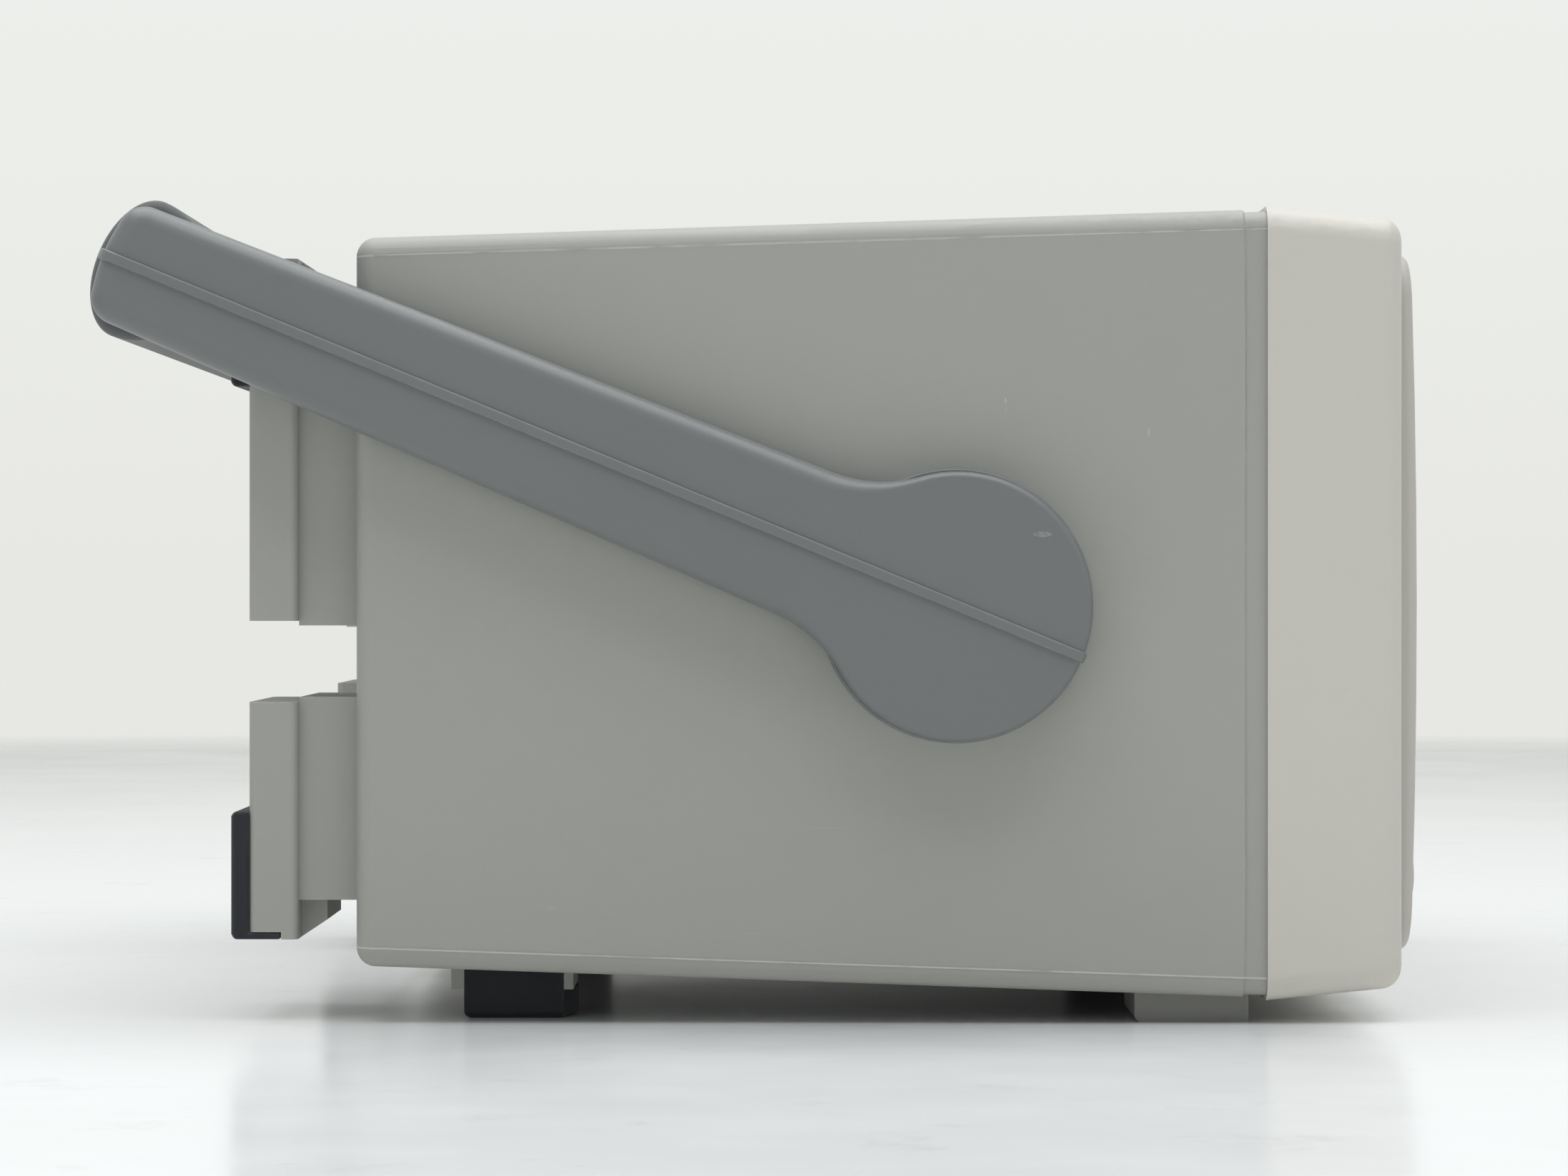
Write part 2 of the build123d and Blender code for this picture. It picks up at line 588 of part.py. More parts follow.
def make_cabinet_shell():
    """Bucket-shaped case: collar, tapered walls and rear wall in one moulding."""
    body = case_slice(0.0, CASE_FRONT, CASE_REAR)
    body = fillet(long_edges(body) + list(rear_edges(body)), CASE_EDGE_RADIUS)
    body = chamfer(front_edges(body), CASE_FRONT_CHAMFER)
    collar = case_slice(COLLAR_DROP, COLLAR_FRONT, CASE_FRONT)
    collar = fillet(long_edges(collar), CASE_EDGE_RADIUS - COLLAR_DROP)
    hollow = case_slice(CASE_WALL, COLLAR_FRONT - CASE_WALL, CASE_REAR - CASE_WALL)
    hollow = fillet(long_edges(hollow), CASE_EDGE_RADIUS - CASE_WALL)
    shell = body + collar + seam_ridges()
    for sign in SIDES.values():
        shell += pad_lips(sign)
    shell -= hollow
    inside, outside = CASE_REAR - 2 * CASE_WALL, CASE_REAR + CUT_PAST
    shell -= block(-REAR_OPENING_HALF, REAR_OPENING_HALF, inside, outside,
                   REAR_OPENING_BOTTOM, REAR_OPENING_TOP)
    for sign in SIDES.values():
        shell -= cross_rod(PIVOT_RADIUS + ASSEMBLY_GAP, sign * (CASE_HALF - 2 * CASE_WALL),
                           sign * (CASE_HALF + CUT_PAST), PIVOT_Y, PIVOT_Z)
    for x, z in case_screw_places():
        shell -= rod(CASE_SCREW_RADIUS + SCREW_PLAY, inside, outside, x, z)
    for x, z in foot_screw_places():
        shell -= rod(FOOT_SCREW_RADIUS + SCREW_PLAY, inside, outside, x, z)
    for slot in bottom_vents():
        shell -= slot
    return shell


# ---- bezel and front panel -------------------------------------------------
def make_front_bezel():
    """Pale front frame: tapered sides, a thin rear lip and the opening for the panel."""
    half = CASE_HALF + BEZEL_PROUD
    low = case_bottom(BEZEL_DEPTH) - BEZEL_PROUD
    high = case_top(BEZEL_DEPTH) + BEZEL_PROUD
    draw_in = BEZEL_DEPTH * math.tan(math.radians(BEZEL_DRAFT))
    body = frustum(half - draw_in, low + draw_in, high - draw_in, 0.0,
                   half, low, high, BEZEL_DEPTH)
    body = fillet(long_edges(body), BEZEL_LONG_RADIUS)
    body = fillet(front_edges(body), BEZEL_FRONT_RADIUS)
    wall = draw_in + BEZEL_WALL
    inner = block(-half + wall, half - wall, BEZEL_WALL, BEZEL_DEPTH + CUT_PAST,
                  low + wall, high - wall)
    lip_depth = COLLAR_DROP - LIP_GAP
    lip_half = CASE_HALF - lip_depth
    lip = frustum(lip_half, case_bottom(COLLAR_FRONT) + lip_depth,
                  case_top(COLLAR_FRONT) - lip_depth, COLLAR_FRONT - LIP_GAP,
                  lip_half, case_bottom(CASE_FRONT) + lip_depth,
                  case_top(CASE_FRONT) - lip_depth, CASE_FRONT)
    lip = fillet(long_edges(lip), CASE_EDGE_RADIUS - COLLAR_DROP)
    opening = plate_across(2 * (PANEL_HALF + ASSEMBLY_GAP), PANEL_HEIGHT + 2 * ASSEMBLY_GAP,
                           PANEL_CORNER + ASSEMBLY_GAP, -CUT_PAST, 2 * BEZEL_WALL,
                           0.0, PANEL_MID)
    return body - inner - lip - opening


def small_knobs():
    """Name, X, Z and radius of each knob."""
    places = [("jog_knob", JOG_X, JOG_Z, JOG_RADIUS)]
    for index, name in enumerate(("vertical_knob", "time_knob", "trigger_knob")):
        x = SMALL_KNOB_X + index * SMALL_KNOB_PITCH
        places.append((name, x, SMALL_KNOB_Z, SMALL_KNOB_RADIUS))
    return places


def channel_places():
    """X of each input channel."""
    return [CHANNEL_X + index * CHANNEL_PITCH for index in range(CHANNEL_COUNT)]


def key_places():
    """Name, X, Z, width and height of each rectangular key."""
    places = []
    for index in range(SOFT_KEY_COUNT):
        z = WINDOW_Z + ((SOFT_KEY_COUNT - 1) / 2 - index) * SOFT_KEY_PITCH
        places.append((f"soft_key_{index + 1}", SOFT_KEY_X, z, SOFT_KEY_WIDTH, SOFT_KEY_HEIGHT))
    for index, x in enumerate(channel_places()):
        places.append((f"channel_key_{index + 1}", x, CHANNEL_KEY_Z,
                       CHANNEL_KEY_WIDTH, CHANNEL_KEY_HEIGHT))
    places.append(("run_stop_key", RUN_KEY_X, RUN_KEY_Z, RUN_KEY_WIDTH, RUN_KEY_HEIGHT))
    return places


def make_front_panel():
    """Bowed front plate with a skirt and a rear flange, and every hole in it."""
    skirt_end = BEZEL_WALL + ASSEMBLY_GAP
    front, rear = -PANEL_PROUD - CUT_PAST, PANEL_BACK + CUT_PAST
    slab = plate_across(2 * PANEL_HALF, PANEL_HEIGHT, PANEL_CORNER,
                        front, skirt_end, 0.0, PANEL_MID)
    bow_place = Pos(0, PANEL_BOW - PANEL_PROUD, PANEL_MID) * Rot(0, 90, 0)
    slab = slab & bow_place * Cylinder(PANEL_BOW, 2 * CASE_WIDTH)
    slab = fillet(front_edges(slab), PANEL_EDGE_RADIUS)
    inner_width, inner_height = 2 * (PANEL_HALF - PANEL_SKIRT), PANEL_HEIGHT - 2 * PANEL_SKIRT
    flange_end = skirt_end + PANEL_FLANGE_THICKNESS
    flange = plate_across(2 * (PANEL_HALF + PANEL_FLANGE), PANEL_HEIGHT + 2 * PANEL_FLANGE,
                          PANEL_CORNER + PANEL_FLANGE, skirt_end, flange_end, 0.0, PANEL_MID)
    panel = slab + flange
    panel -= plate_across(inner_width, inner_height, PANEL_CORNER - PANEL_SKIRT,
                          PANEL_BACK, flange_end + CUT_PAST, 0.0, PANEL_MID)
    panel -= plate_across(WINDOW_WIDTH, WINDOW_HEIGHT, WINDOW_CORNER, front, rear,
                          WINDOW_X, WINDOW_Z)
    for name, x, z, width, height in key_places():
        panel -= centred(x, z, width + 2 * KEY_GAP, height + 2 * KEY_GAP, front, rear)
    for name, x, z, radius in small_knobs():
        panel -= rod(KNOB_SHAFT_RADIUS + BUSH_WALL + ASSEMBLY_GAP, front, rear, x, z)
    for x in channel_places():
        panel -= rod(SOCKET_BODY_RADIUS + ASSEMBLY_GAP, front, rear, x, SOCKET_Z)
    panel -= rod(POWER_RADIUS + KEY_GAP, front, rear, POWER_X, POWER_Z)
    for x in calibrator_posts():
        panel -= rod(POST_RADIUS + POST_SLEEVE + ASSEMBLY_GAP, front, rear, x, POST_Z)
    panel -= centred(DRIVE_X, DRIVE_Z, DRIVE_WIDTH + 2 * ASSEMBLY_GAP,
                     DRIVE_HEIGHT + 2 * ASSEMBLY_GAP, front, rear)
    return panel


# ---- display ---------------------------------------------------------------
def make_display_window():
    """Clear plate behind the display opening."""
    return plate_across(WINDOW_WIDTH + 2 * WINDOW_LEDGE, WINDOW_HEIGHT + 2 * WINDOW_LEDGE,
                        WINDOW_CORNER, WINDOW_FRONT, WINDOW_REAR, WINDOW_X, WINDOW_Z)


def make_lcd_module():
    """Liquid-crystal module: metal rim around a slightly sunk glass."""
    glass_width = WINDOW_WIDTH - 2 * ASSEMBLY_GAP
    glass_height = WINDOW_HEIGHT - 2 * ASSEMBLY_GAP
    body = centred(WINDOW_X, WINDOW_Z, glass_width + 2 * LCD_MARGIN,
                   glass_height + 2 * LCD_MARGIN, LCD_FRONT, LCD_REAR)
    return body - centred(WINDOW_X, WINDOW_Z, glass_width, glass_height,
                          LCD_FRONT - CUT_PAST, LCD_FRONT + LCD_SINK)


def make_display_bracket():
    """Sheet bracket that holds the display module from behind, with two side lugs."""
    width = WINDOW_WIDTH + 2 * LCD_MARGIN
    height = WINDOW_HEIGHT + 2 * LCD_MARGIN
    rear = LCD_REAR + BRACKET_THICKNESS
    bracket = centred(WINDOW_X, WINDOW_Z, width, height, LCD_REAR, rear)
    bracket -= centred(WINDOW_X, WINDOW_Z, width / 2, height / 2,
                       LCD_REAR - CUT_PAST, rear + CUT_PAST)
    top = WINDOW_Z + height / 2
    for way in (-1, 1):
        wall = WINDOW_Z + way * (height + BRACKET_THICKNESS) / 2
        bracket += centred(WINDOW_X, wall, width, BRACKET_THICKNESS, LCD_FRONT, rear)
        lug = WINDOW_X + way * width / 4
        bracket += centred(lug, top - BRACKET_LUG_HEIGHT / 2, BRACKET_LUG, BRACKET_LUG_HEIGHT,
                           rear, CHASSIS_FRONT)
    return bracket


# ---- keys, knobs and buttons -----------------------------------------------
def make_key(x, z, width, height):
    """Moulded key: rounded cap, a retaining flange behind the panel and a plunger."""
    cap = centred(x, z, width, height, panel_surface(z) - KEY_PROUD, KEY_FLANGE_FRONT)
    cap = fillet(front_edges(cap), KEY_EDGE)
    flange = centred(x, z, width + 2 * KEY_FLANGE, height + 2 * KEY_FLANGE,
                     KEY_FLANGE_FRONT, KEY_FLANGE_REAR)
    plunger_end = CONTROL_BOARD_Y - SWITCH_HEIGHT - KEY_TRAVEL - ASSEMBLY_GAP
    return cap + flange + rod(SWITCH_RADIUS, KEY_FLANGE_REAR, plunger_end, x, z)


def make_knob(x, z, radius):
    """Turned knob: a wider skirt, a rounded nose with a dished front, and its shaft."""
    skirt = rod(radius, KNOB_SKIRT_FRONT, KNOB_REAR, x, z)
    nose = rod(radius - KNOB_STEP, KNOB_FRONT, KNOB_SKIRT_FRONT, x, z)
    nose = fillet(front_edges(nose), KNOB_EDGE)
    dish = rod(radius - KNOB_STEP - KNOB_DISH_RIM, KNOB_FRONT - CUT_PAST,
               KNOB_FRONT + KNOB_DISH_DEPTH, x, z)
    return skirt + nose + rod(KNOB_SHAFT_RADIUS, KNOB_REAR, SHAFT_END, x, z) - dish


def make_control_board():
    """Circuit board behind the controls, with an encoder bush and body for each knob."""
    left = SOFT_KEY_X - SOFT_KEY_WIDTH / 2 + KEY_BOARD_OVERLAP
    right = PANEL_HALF - PANEL_SKIRT - ASSEMBLY_GAP
    board = block(left, right, CONTROL_BOARD_Y, CONTROL_BOARD_Y + BOARD_THICKNESS,
                  CHANNEL_KEY_Z - BOARD_MARGIN, PANEL_TOP - PANEL_SKIRT - BOARD_TOP_GAP)
    body_front = SHAFT_END - ENCODER_LENGTH
    for name, x, z, radius in small_knobs():
        board += centred(x, z, 2 * ENCODER_HALF, 2 * ENCODER_HALF, body_front, CONTROL_BOARD_Y)
        board += rod(KNOB_SHAFT_RADIUS + BUSH_WALL, BUSH_FRONT + BUSH_SETBACK, body_front, x, z)
        board -= rod(KNOB_SHAFT_RADIUS + SHAFT_PLAY, BUSH_FRONT, SHAFT_END + ASSEMBLY_GAP, x, z)
    for name, x, z, width, height in key_places():
        board += rod(SWITCH_BODY_RADIUS, CONTROL_BOARD_Y - SWITCH_HEIGHT, CONTROL_BOARD_Y, x, z)
    return board


def make_power_button():
    """Round push button with a long stem to the mains switch."""
    cap = rod(POWER_RADIUS, panel_surface(POWER_Z) - KEY_PROUD, KEY_FLANGE_FRONT,
              POWER_X, POWER_Z)
    cap = fillet(front_edges(cap), POWER_EDGE)
    flange = rod(POWER_RADIUS + KEY_FLANGE, KEY_FLANGE_FRONT, KEY_FLANGE_REAR, POWER_X, POWER_Z)
    return cap + flange + rod(SWITCH_RADIUS, KEY_FLANGE_REAR, POWER_STEM_END, POWER_X, POWER_Z)


# ---- disk drive ------------------------------------------------------------
def make_disk_drive():
    """Removable-disk drive: case, flush front with its slot and the eject button's hole."""
    drive = centred(DRIVE_X, DRIVE_Z, DRIVE_WIDTH, DRIVE_HEIGHT, DRIVE_FRONT, DRIVE_REAR)
    drive -= centred(DRIVE_X, DISK_SLOT_Z, DISK_SLOT_WIDTH, DISK_SLOT_HEIGHT,
                     DRIVE_FRONT - CUT_PAST, DRIVE_FRONT + DISK_SLOT_DEPTH)
    return drive - centred(EJECT_X, EJECT_Z, EJECT_WIDTH + 2 * KEY_GAP,
                           EJECT_HEIGHT + 2 * KEY_GAP,
                           DRIVE_FRONT - CUT_PAST, DRIVE_FRONT + EJECT_POCKET)


def make_eject_button():
    """Small sliding bar that pushes the disk out."""
    bar = centred(EJECT_X, EJECT_Z, EJECT_WIDTH, EJECT_HEIGHT, DRIVE_FRONT - EJECT_PROUD,
                  DRIVE_FRONT + EJECT_POCKET - EJECT_TRAVEL - ASSEMBLY_GAP)
    return fillet(front_edges(bar), EJECT_EDGE)


# ---- sockets ---------------------------------------------------------------
def make_coaxial_socket(x, z, face, way):
    """Bayonet coaxial socket.

    face is Y of the panel there; way is -1 for a socket on the front, 1 on the rear.
    """
    def at(distance):
        return face + way * distance

    bore_end = SOCKET_LENGTH - SOCKET_BORE_DEPTH
    contact_end = SOCKET_LENGTH - CONTACT_SETBACK
    body = rod(SOCKET_BODY_RADIUS, at(-SOCKET_TAIL), at(0.0), x, z)
    body += rod(SOCKET_FLANGE, at(0.0), at(SOCKET_FLANGE_THICKNESS), x, z)
    body += rod(SOCKET_RADIUS, at(SOCKET_FLANGE_THICKNESS), at(SOCKET_LENGTH), x, z)
    body += cross_rod(LUG_RADIUS, x - LUG_SPAN / 2, x + LUG_SPAN / 2,
                      at(SOCKET_LENGTH - LUG_SETBACK), z)
    body -= rod(SOCKET_BORE, at(bore_end), at(SOCKET_LENGTH + CUT_PAST), x, z)
    contact = rod(CONTACT_RADIUS, at(bore_end), at(contact_end), x, z)
    contact -= rod(CONTACT_BORE, at(contact_end - CONTACT_DEPTH), at(SOCKET_LENGTH), x, z)
    return body + contact


def calibrator_posts():
    """X of the probe calibrator's two posts."""
    return [SOFT_KEY_X - POST_PITCH / 2, SOFT_KEY_X + POST_PITCH / 2]


def make_probe_calibrator():
    """Two metal posts in insulating sleeves on one small carrier."""
    face = panel_surface(POST_Z)
    sleeve_end = face - POST_SLEEVE_LENGTH
    carrier = centred(SOFT_KEY_X, POST_Z, 2 * POST_PITCH, POST_CARRIER_HEIGHT,
                      KEY_FLANGE_FRONT, PANEL_BACK + POST_CARRIER_THICKNESS)
    carrier -= centred(SOFT_KEY_X, POST_Z, 3 * POST_PITCH, 2 * POST_CARRIER_HEIGHT,
                       PANEL_BACK - CUT_PAST, PANEL_BACK + FLANGE_PLAY)
    for x in calibrator_posts():
        carrier += rod(POST_RADIUS + POST_SLEEVE, sleeve_end, KEY_FLANGE_FRONT, x, POST_Z)
        carrier += rod(POST_RADIUS, face - POST_LENGTH, sleeve_end, x, POST_Z)
    return carrier


def make_mains_inlet():
    """Mains inlet: flange, body, mouth and three contact blades."""
    rear = REAR_PLATE_REAR + INLET_FLANGE
    floor = rear - INLET_DEPTH
    inlet = centred(INLET_X, INLET_Z, INLET_MOUTH_WIDTH + 2 * INLET_WALL,
                    INLET_MOUTH_HEIGHT + 2 * INLET_WALL,
                    REAR_PLATE_REAR - INLET_DEPTH, REAR_PLATE_REAR)
    inlet += plate_across(INLET_FLANGE_WIDTH, INLET_FLANGE_HEIGHT, INLET_CORNER,
                          REAR_PLATE_REAR, rear, INLET_X, INLET_Z)
    inlet -= centred(INLET_X, INLET_Z, INLET_MOUTH_WIDTH, INLET_MOUTH_HEIGHT,
                     floor, rear + CUT_PAST)
    for across, up in ((-1, BLADE_LOW), (1, BLADE_LOW), (0, BLADE_HIGH)):
        inlet += centred(INLET_X + across * BLADE_CONTACT_PITCH, INLET_Z + up,
                         BLADE_CONTACT_WIDTH, BLADE_CONTACT_HEIGHT,
                         floor, rear - BLADE_CONTACT_SETBACK)
    return inlet


def make_bus_socket():
    """Wide interface socket with a metal shell, a contact tongue and two jack posts."""
    mouth_width = BUS_WIDTH - 2 * BUS_WALL
    mouth_height = BUS_HEIGHT - 2 * BUS_WALL
    floor = REAR_PLATE_REAR - BUS_WALL
    flange_rear = REAR_PLATE_REAR + BUS_FLANGE_THICKNESS
    socket = plate_across(BUS_WIDTH, BUS_HEIGHT, BUS_CORNER, REAR_PLATE_REAR - BUS_TAIL,
                          BUS_REAR, BUS_X, BUS_Z)
    socket += plate_across(BUS_FLANGE_WIDTH, BUS_HEIGHT + 2 * BUS_RIM, BUS_CORNER,
                           REAR_PLATE_REAR, flange_rear, BUS_X, BUS_Z)
    socket -= plate_across(mouth_width, mouth_height, BUS_CORNER - BUS_RIM,
                           floor, BUS_REAR + CUT_PAST, BUS_X, BUS_Z)
    socket += centred(BUS_X, BUS_Z, BUS_WIDTH - 2 * BUS_TONGUE_INSET, BUS_TONGUE,
                      floor, BUS_REAR - BUS_TONGUE_SETBACK)
    for way in (-1, 1):
        x = BUS_X + way * (BUS_FLANGE_WIDTH / 2 - JACK_POST_INSET)
        socket += rod(JACK_POST_RADIUS, flange_rear, BUS_REAR, x, BUS_Z)
    return socket


# ---- chassis, boards and supply --------------------------------------------
def make_chassis_frame():
    """Sheet-metal frame: floor, two sides and a front plate with a display opening."""
    frame = block(-CHASSIS_HALF_WIDTH, CHASSIS_HALF_WIDTH, CHASSIS_FRONT, REAR_PLATE_FRONT,
                  CHASSIS_BOTTOM, CHASSIS_FLOOR)
    for sign in SIDES.values():
        outer = sign * CHASSIS_HALF_WIDTH
        frame += block(outer - sign * SHEET, outer, CHASSIS_FRONT, REAR_PLATE_FRONT,
                       CHASSIS_BOTTOM, CHASSIS_TOP)
        frame -= cross_rod(STUD_RADIUS + ASSEMBLY_GAP, outer - sign * 3 * SHEET,
                           outer + sign * CUT_PAST, PIVOT_Y, PIVOT_Z)
    front = block(-CHASSIS_HALF_WIDTH, CHASSIS_HALF_WIDTH, CHASSIS_FRONT,
                  CHASSIS_FRONT + SHEET, CHASSIS_BOTTOM, CHASSIS_TOP)
    opening_half = CHASSIS_HALF_WIDTH - FRONT_PLATE_SIDE
    front -= block(-opening_half, opening_half, CHASSIS_FRONT - CUT_PAST,
                   CHASSIS_FRONT + SHEET + CUT_PAST,
                   CHASSIS_FLOOR, CHASSIS_TOP - FRONT_PLATE_TOP)
    return frame + front


def make_main_board():
    """Main circuit board on standoffs, with its larger parts."""
    left, right = MAIN_BOARD_LEFT, CHASSIS_HALF_WIDTH - MAIN_BOARD_GAP
    low = CHASSIS_FLOOR + STANDOFF
    top = low + BOARD_THICKNESS
    board = block(left, right, MAIN_BOARD_FRONT, MAIN_BOARD_REAR, low, top)
    for x in (left + STANDOFF_INSET, right - STANDOFF_INSET):
        for y in (MAIN_BOARD_FRONT + STANDOFF_INSET, MAIN_BOARD_REAR - STANDOFF_INSET):
            board += rod_up(STANDOFF_RADIUS, CHASSIS_FLOOR, low, x, y)
    for x, back, half, height in BOARD_PARTS:
        y = MAIN_BOARD_FRONT + back
        board += block(x - half, x + half, y - half, y + half, top, top + height)
    return board


def make_acquisition_module():
    """Screened input stage behind the coaxial sockets."""
    left = CHANNEL_X - CHANNEL_PITCH / 2
    right = left + CHANNEL_COUNT * CHANNEL_PITCH
    top = SOCKET_Z + CAN_RISE
    can = block(left, right, CHASSIS_FRONT + SHEET + ASSEMBLY_GAP, CAN_REAR,
                CHASSIS_FLOOR, top)
    for index in range(1, CHANNEL_COUNT):
        x = left + index * CHANNEL_PITCH
        can -= block(x - CAN_GROOVE / 2, x + CAN_GROOVE / 2, CHASSIS_FRONT, CAN_REAR + CUT_PAST,
                     top - CAN_GROOVE, top + CUT_PAST)
    return can


def make_power_supply():
    """Switch-mode supply in a vented metal box."""
    left = -CHASSIS_HALF_WIDTH + SUPPLY_GAP
    right = left + SUPPLY_WIDTH
    box = block(left, right, SUPPLY_FRONT, SUPPLY_REAR, CHASSIS_FLOOR, SUPPLY_TOP)
    box -= block(left + SHEET, right - SHEET, SUPPLY_FRONT + SHEET, SUPPLY_REAR - SHEET,
                 CHASSIS_FLOOR + SHEET, SUPPLY_TOP - SHEET)
    for index in range(SUPPLY_SLOTS):
        y = SUPPLY_FRONT + (index + 1) * SUPPLY_SLOT_PITCH
        box -= block(left + SUPPLY_GAP, right - SUPPLY_GAP, y, y + SUPPLY_SLOT_WIDTH,
                     SUPPLY_TOP - 2 * SHEET, SUPPLY_TOP + CUT_PAST)
    return box


# ---- rear panel and fan ----------------------------------------------------
def make_rear_panel():
    """Rear plate with the fan, inlet and socket holes."""
    half = CHASSIS_HALF_WIDTH - SHEET - REAR_PLATE_GAP
    plate = block(-half, half, REAR_PLATE_FRONT, REAR_PLATE_REAR,
                  CHASSIS_FLOOR + ASSEMBLY_GAP, CHASSIS_TOP)
    front, rear = REAR_PLATE_FRONT - CUT_PAST, REAR_PLATE_REAR + CUT_PAST
    plate -= rod(FAN_BORE, front, rear, FAN_X, FAN_Z)
    for x, z in fan_corners():
        plate -= rod(FAN_SCREW_RADIUS + SCREW_PLAY, front, rear, x, z)
    plate -= centred(INLET_X, INLET_Z, INLET_MOUTH_WIDTH + 2 * (INLET_WALL + ASSEMBLY_GAP),
                     INLET_MOUTH_HEIGHT + 2 * (INLET_WALL + ASSEMBLY_GAP), front, rear)
    plate -= plate_across(BUS_WIDTH + 2 * ASSEMBLY_GAP, BUS_HEIGHT + 2 * ASSEMBLY_GAP,
                          BUS_CORNER + ASSEMBLY_GAP, front, rear, BUS_X, BUS_Z)
    plate -= rod(SOCKET_BODY_RADIUS + ASSEMBLY_GAP, front, rear, REAR_SOCKET_X, REAR_SOCKET_Z)
    for x, z in case_screw_places():
        plate -= rod(CASE_SCREW_RADIUS, front, rear, x, z)
    for x, z in foot_screw_places():
        plate -= rod(FOOT_SCREW_RADIUS + SCREW_PLAY, front, rear, x, z)
    return plate


def fan_corners():
    """X and Z of the fan's four fixing holes."""
    return [(FAN_X + across * FAN_HOLE_HALF, FAN_Z + up * FAN_HOLE_HALF)
            for across in (-1, 1) for up in (-1, 1)]


def make_fan_frame():
    """Square fan frame with a round duct, four struts and the rotor's bearing."""
    frame = centred(FAN_X, FAN_Z, FAN_SIZE, FAN_SIZE, FAN_FRONT, REAR_PLATE_FRONT)
    frame -= rod(FAN_BORE, FAN_FRONT - CUT_PAST, REAR_PLATE_FRONT + CUT_PAST, FAN_X, FAN_Z)
    for turn in (45, 135):
        strut = Box(2 * (FAN_BORE + CUT_PAST), STRUT_DEPTH, STRUT_WIDTH)
        middle = (STRUT_FRONT + REAR_PLATE_FRONT) / 2
        frame += Pos(FAN_X, middle, FAN_Z) * Rot(0, turn, 0) * strut
    frame += rod(FAN_HUB, STRUT_FRONT, REAR_PLATE_FRONT, FAN_X, FAN_Z)
    frame += rod(BEARING_RADIUS, STRUT_FRONT - BEARING_LENGTH, STRUT_FRONT, FAN_X, FAN_Z)
    frame -= rod(FAN_SHAFT_RADIUS + SHAFT_PLAY, STRUT_FRONT - BEARING_LENGTH - CUT_PAST,
                 REAR_PLATE_FRONT - BEARING_FLOOR, FAN_X, FAN_Z)
    for x, z in fan_corners():
        frame -= rod(FAN_SCREW_RADIUS + SCREW_PLAY, FAN_FRONT - CUT_PAST,
                     REAR_PLATE_FRONT + CUT_PAST, x, z)
    return frame


def make_fan_rotor():
    """Cup-shaped hub with its shaft and a ring of pitched blades."""
    front, rear = FAN_FRONT + ROTOR_GAP, STRUT_FRONT - ROTOR_GAP
    inside = FAN_HUB - HUB_WALL
    reach = FAN_BORE - FAN_TIP_GAP
    rotor = rod(FAN_HUB, front, rear, FAN_X, FAN_Z)
    rotor -= rod(inside, front + HUB_WALL, rear + CUT_PAST, FAN_X, FAN_Z)
    rotor += rod(FAN_SHAFT_RADIUS, front + HUB_WALL, REAR_PLATE_FRONT - 2 * BEARING_FLOOR,
                 FAN_X, FAN_Z)
    ring = rod(reach, front, rear, FAN_X, FAN_Z)
    ring -= rod(FAN_HUB - HUB_WALL / 2, front - CUT_PAST, rear + CUT_PAST, FAN_X, FAN_Z)
    for index in range(FAN_BLADES):
        blade = Box(reach - inside, BLADE_THICKNESS, BLADE_CHORD)
        blade = Pos((reach + inside) / 2, 0, 0) * Rot(90 - BLADE_PITCH, 0, 0) * blade
        blade = Pos(FAN_X, (front + rear) / 2, FAN_Z) * Rot(0, index * 360 / FAN_BLADES, 0) * blade
        rotor += blade & ring
    return rotor


def make_fan_guard():
    """Wire finger guard: rings, crossed spokes and four fixing eyes."""
    plane = REAR_PLATE_REAR + GUARD_WIRE
    place = Pos(FAN_X, plane, FAN_Z)
    guard = None
    for index in range(GUARD_RINGS):
        radius = FAN_HOLE_HALF + GUARD_WIRE - index * GUARD_RING_PITCH
        ring = place * Rot(90, 0, 0) * Torus(radius, GUARD_WIRE)
        guard = ring if guard is None else guard + ring
    for turn in (45, 135):
        spoke = Cylinder(GUARD_WIRE, 2 * math.sqrt(2) * FAN_HOLE_HALF)
        guard += place * Rot(0, turn, 0) * Rot(0, 90, 0) * spoke
    rear = REAR_PLATE_REAR + 2 * GUARD_WIRE
    for x, z in fan_corners():
        guard += rod(GUARD_EYE, REAR_PLATE_REAR, rear, x, z)
    for x, z in fan_corners():
        guard -= rod(FAN_SCREW_RADIUS + SCREW_PLAY, REAR_PLATE_REAR - CUT_PAST,
                     rear + CUT_PAST, x, z)
    return guard


# ---- fasteners -------------------------------------------------------------
def screw(radius, seat, tip, x, z):
    """Pan-head screw with a cross recess; the head stands behind its seat."""
    top = seat + HEAD_HEIGHT
    head = rod(radius * HEAD_RATIO, seat, top, x, z)
    head = fillet(rear_edges(head), HEAD_HEIGHT * HEAD_ROUNDING)
    recess, slot = 2 * radius * RECESS_SPAN, 2 * radius * RECESS_WIDTH
    for width, height in ((recess, slot), (slot, recess)):
        head -= centred(x, z, width, height, top - HEAD_HEIGHT * RECESS_DEPTH, top + CUT_PAST)
    return head + rod(radius, tip, seat, x, z)


def case_screw_places():
    """X and Z of the screws through the case's rear wall."""
    x = REAR_OPENING_HALF - CASE_SCREW_INSET
    heights = (REAR_OPENING_BOTTOM - CASE_SCREW_INSET, REAR_OPENING_TOP + CASE_SCREW_RISE)
    return [(way * x, z) for way in (-1, 1) for z in heights]


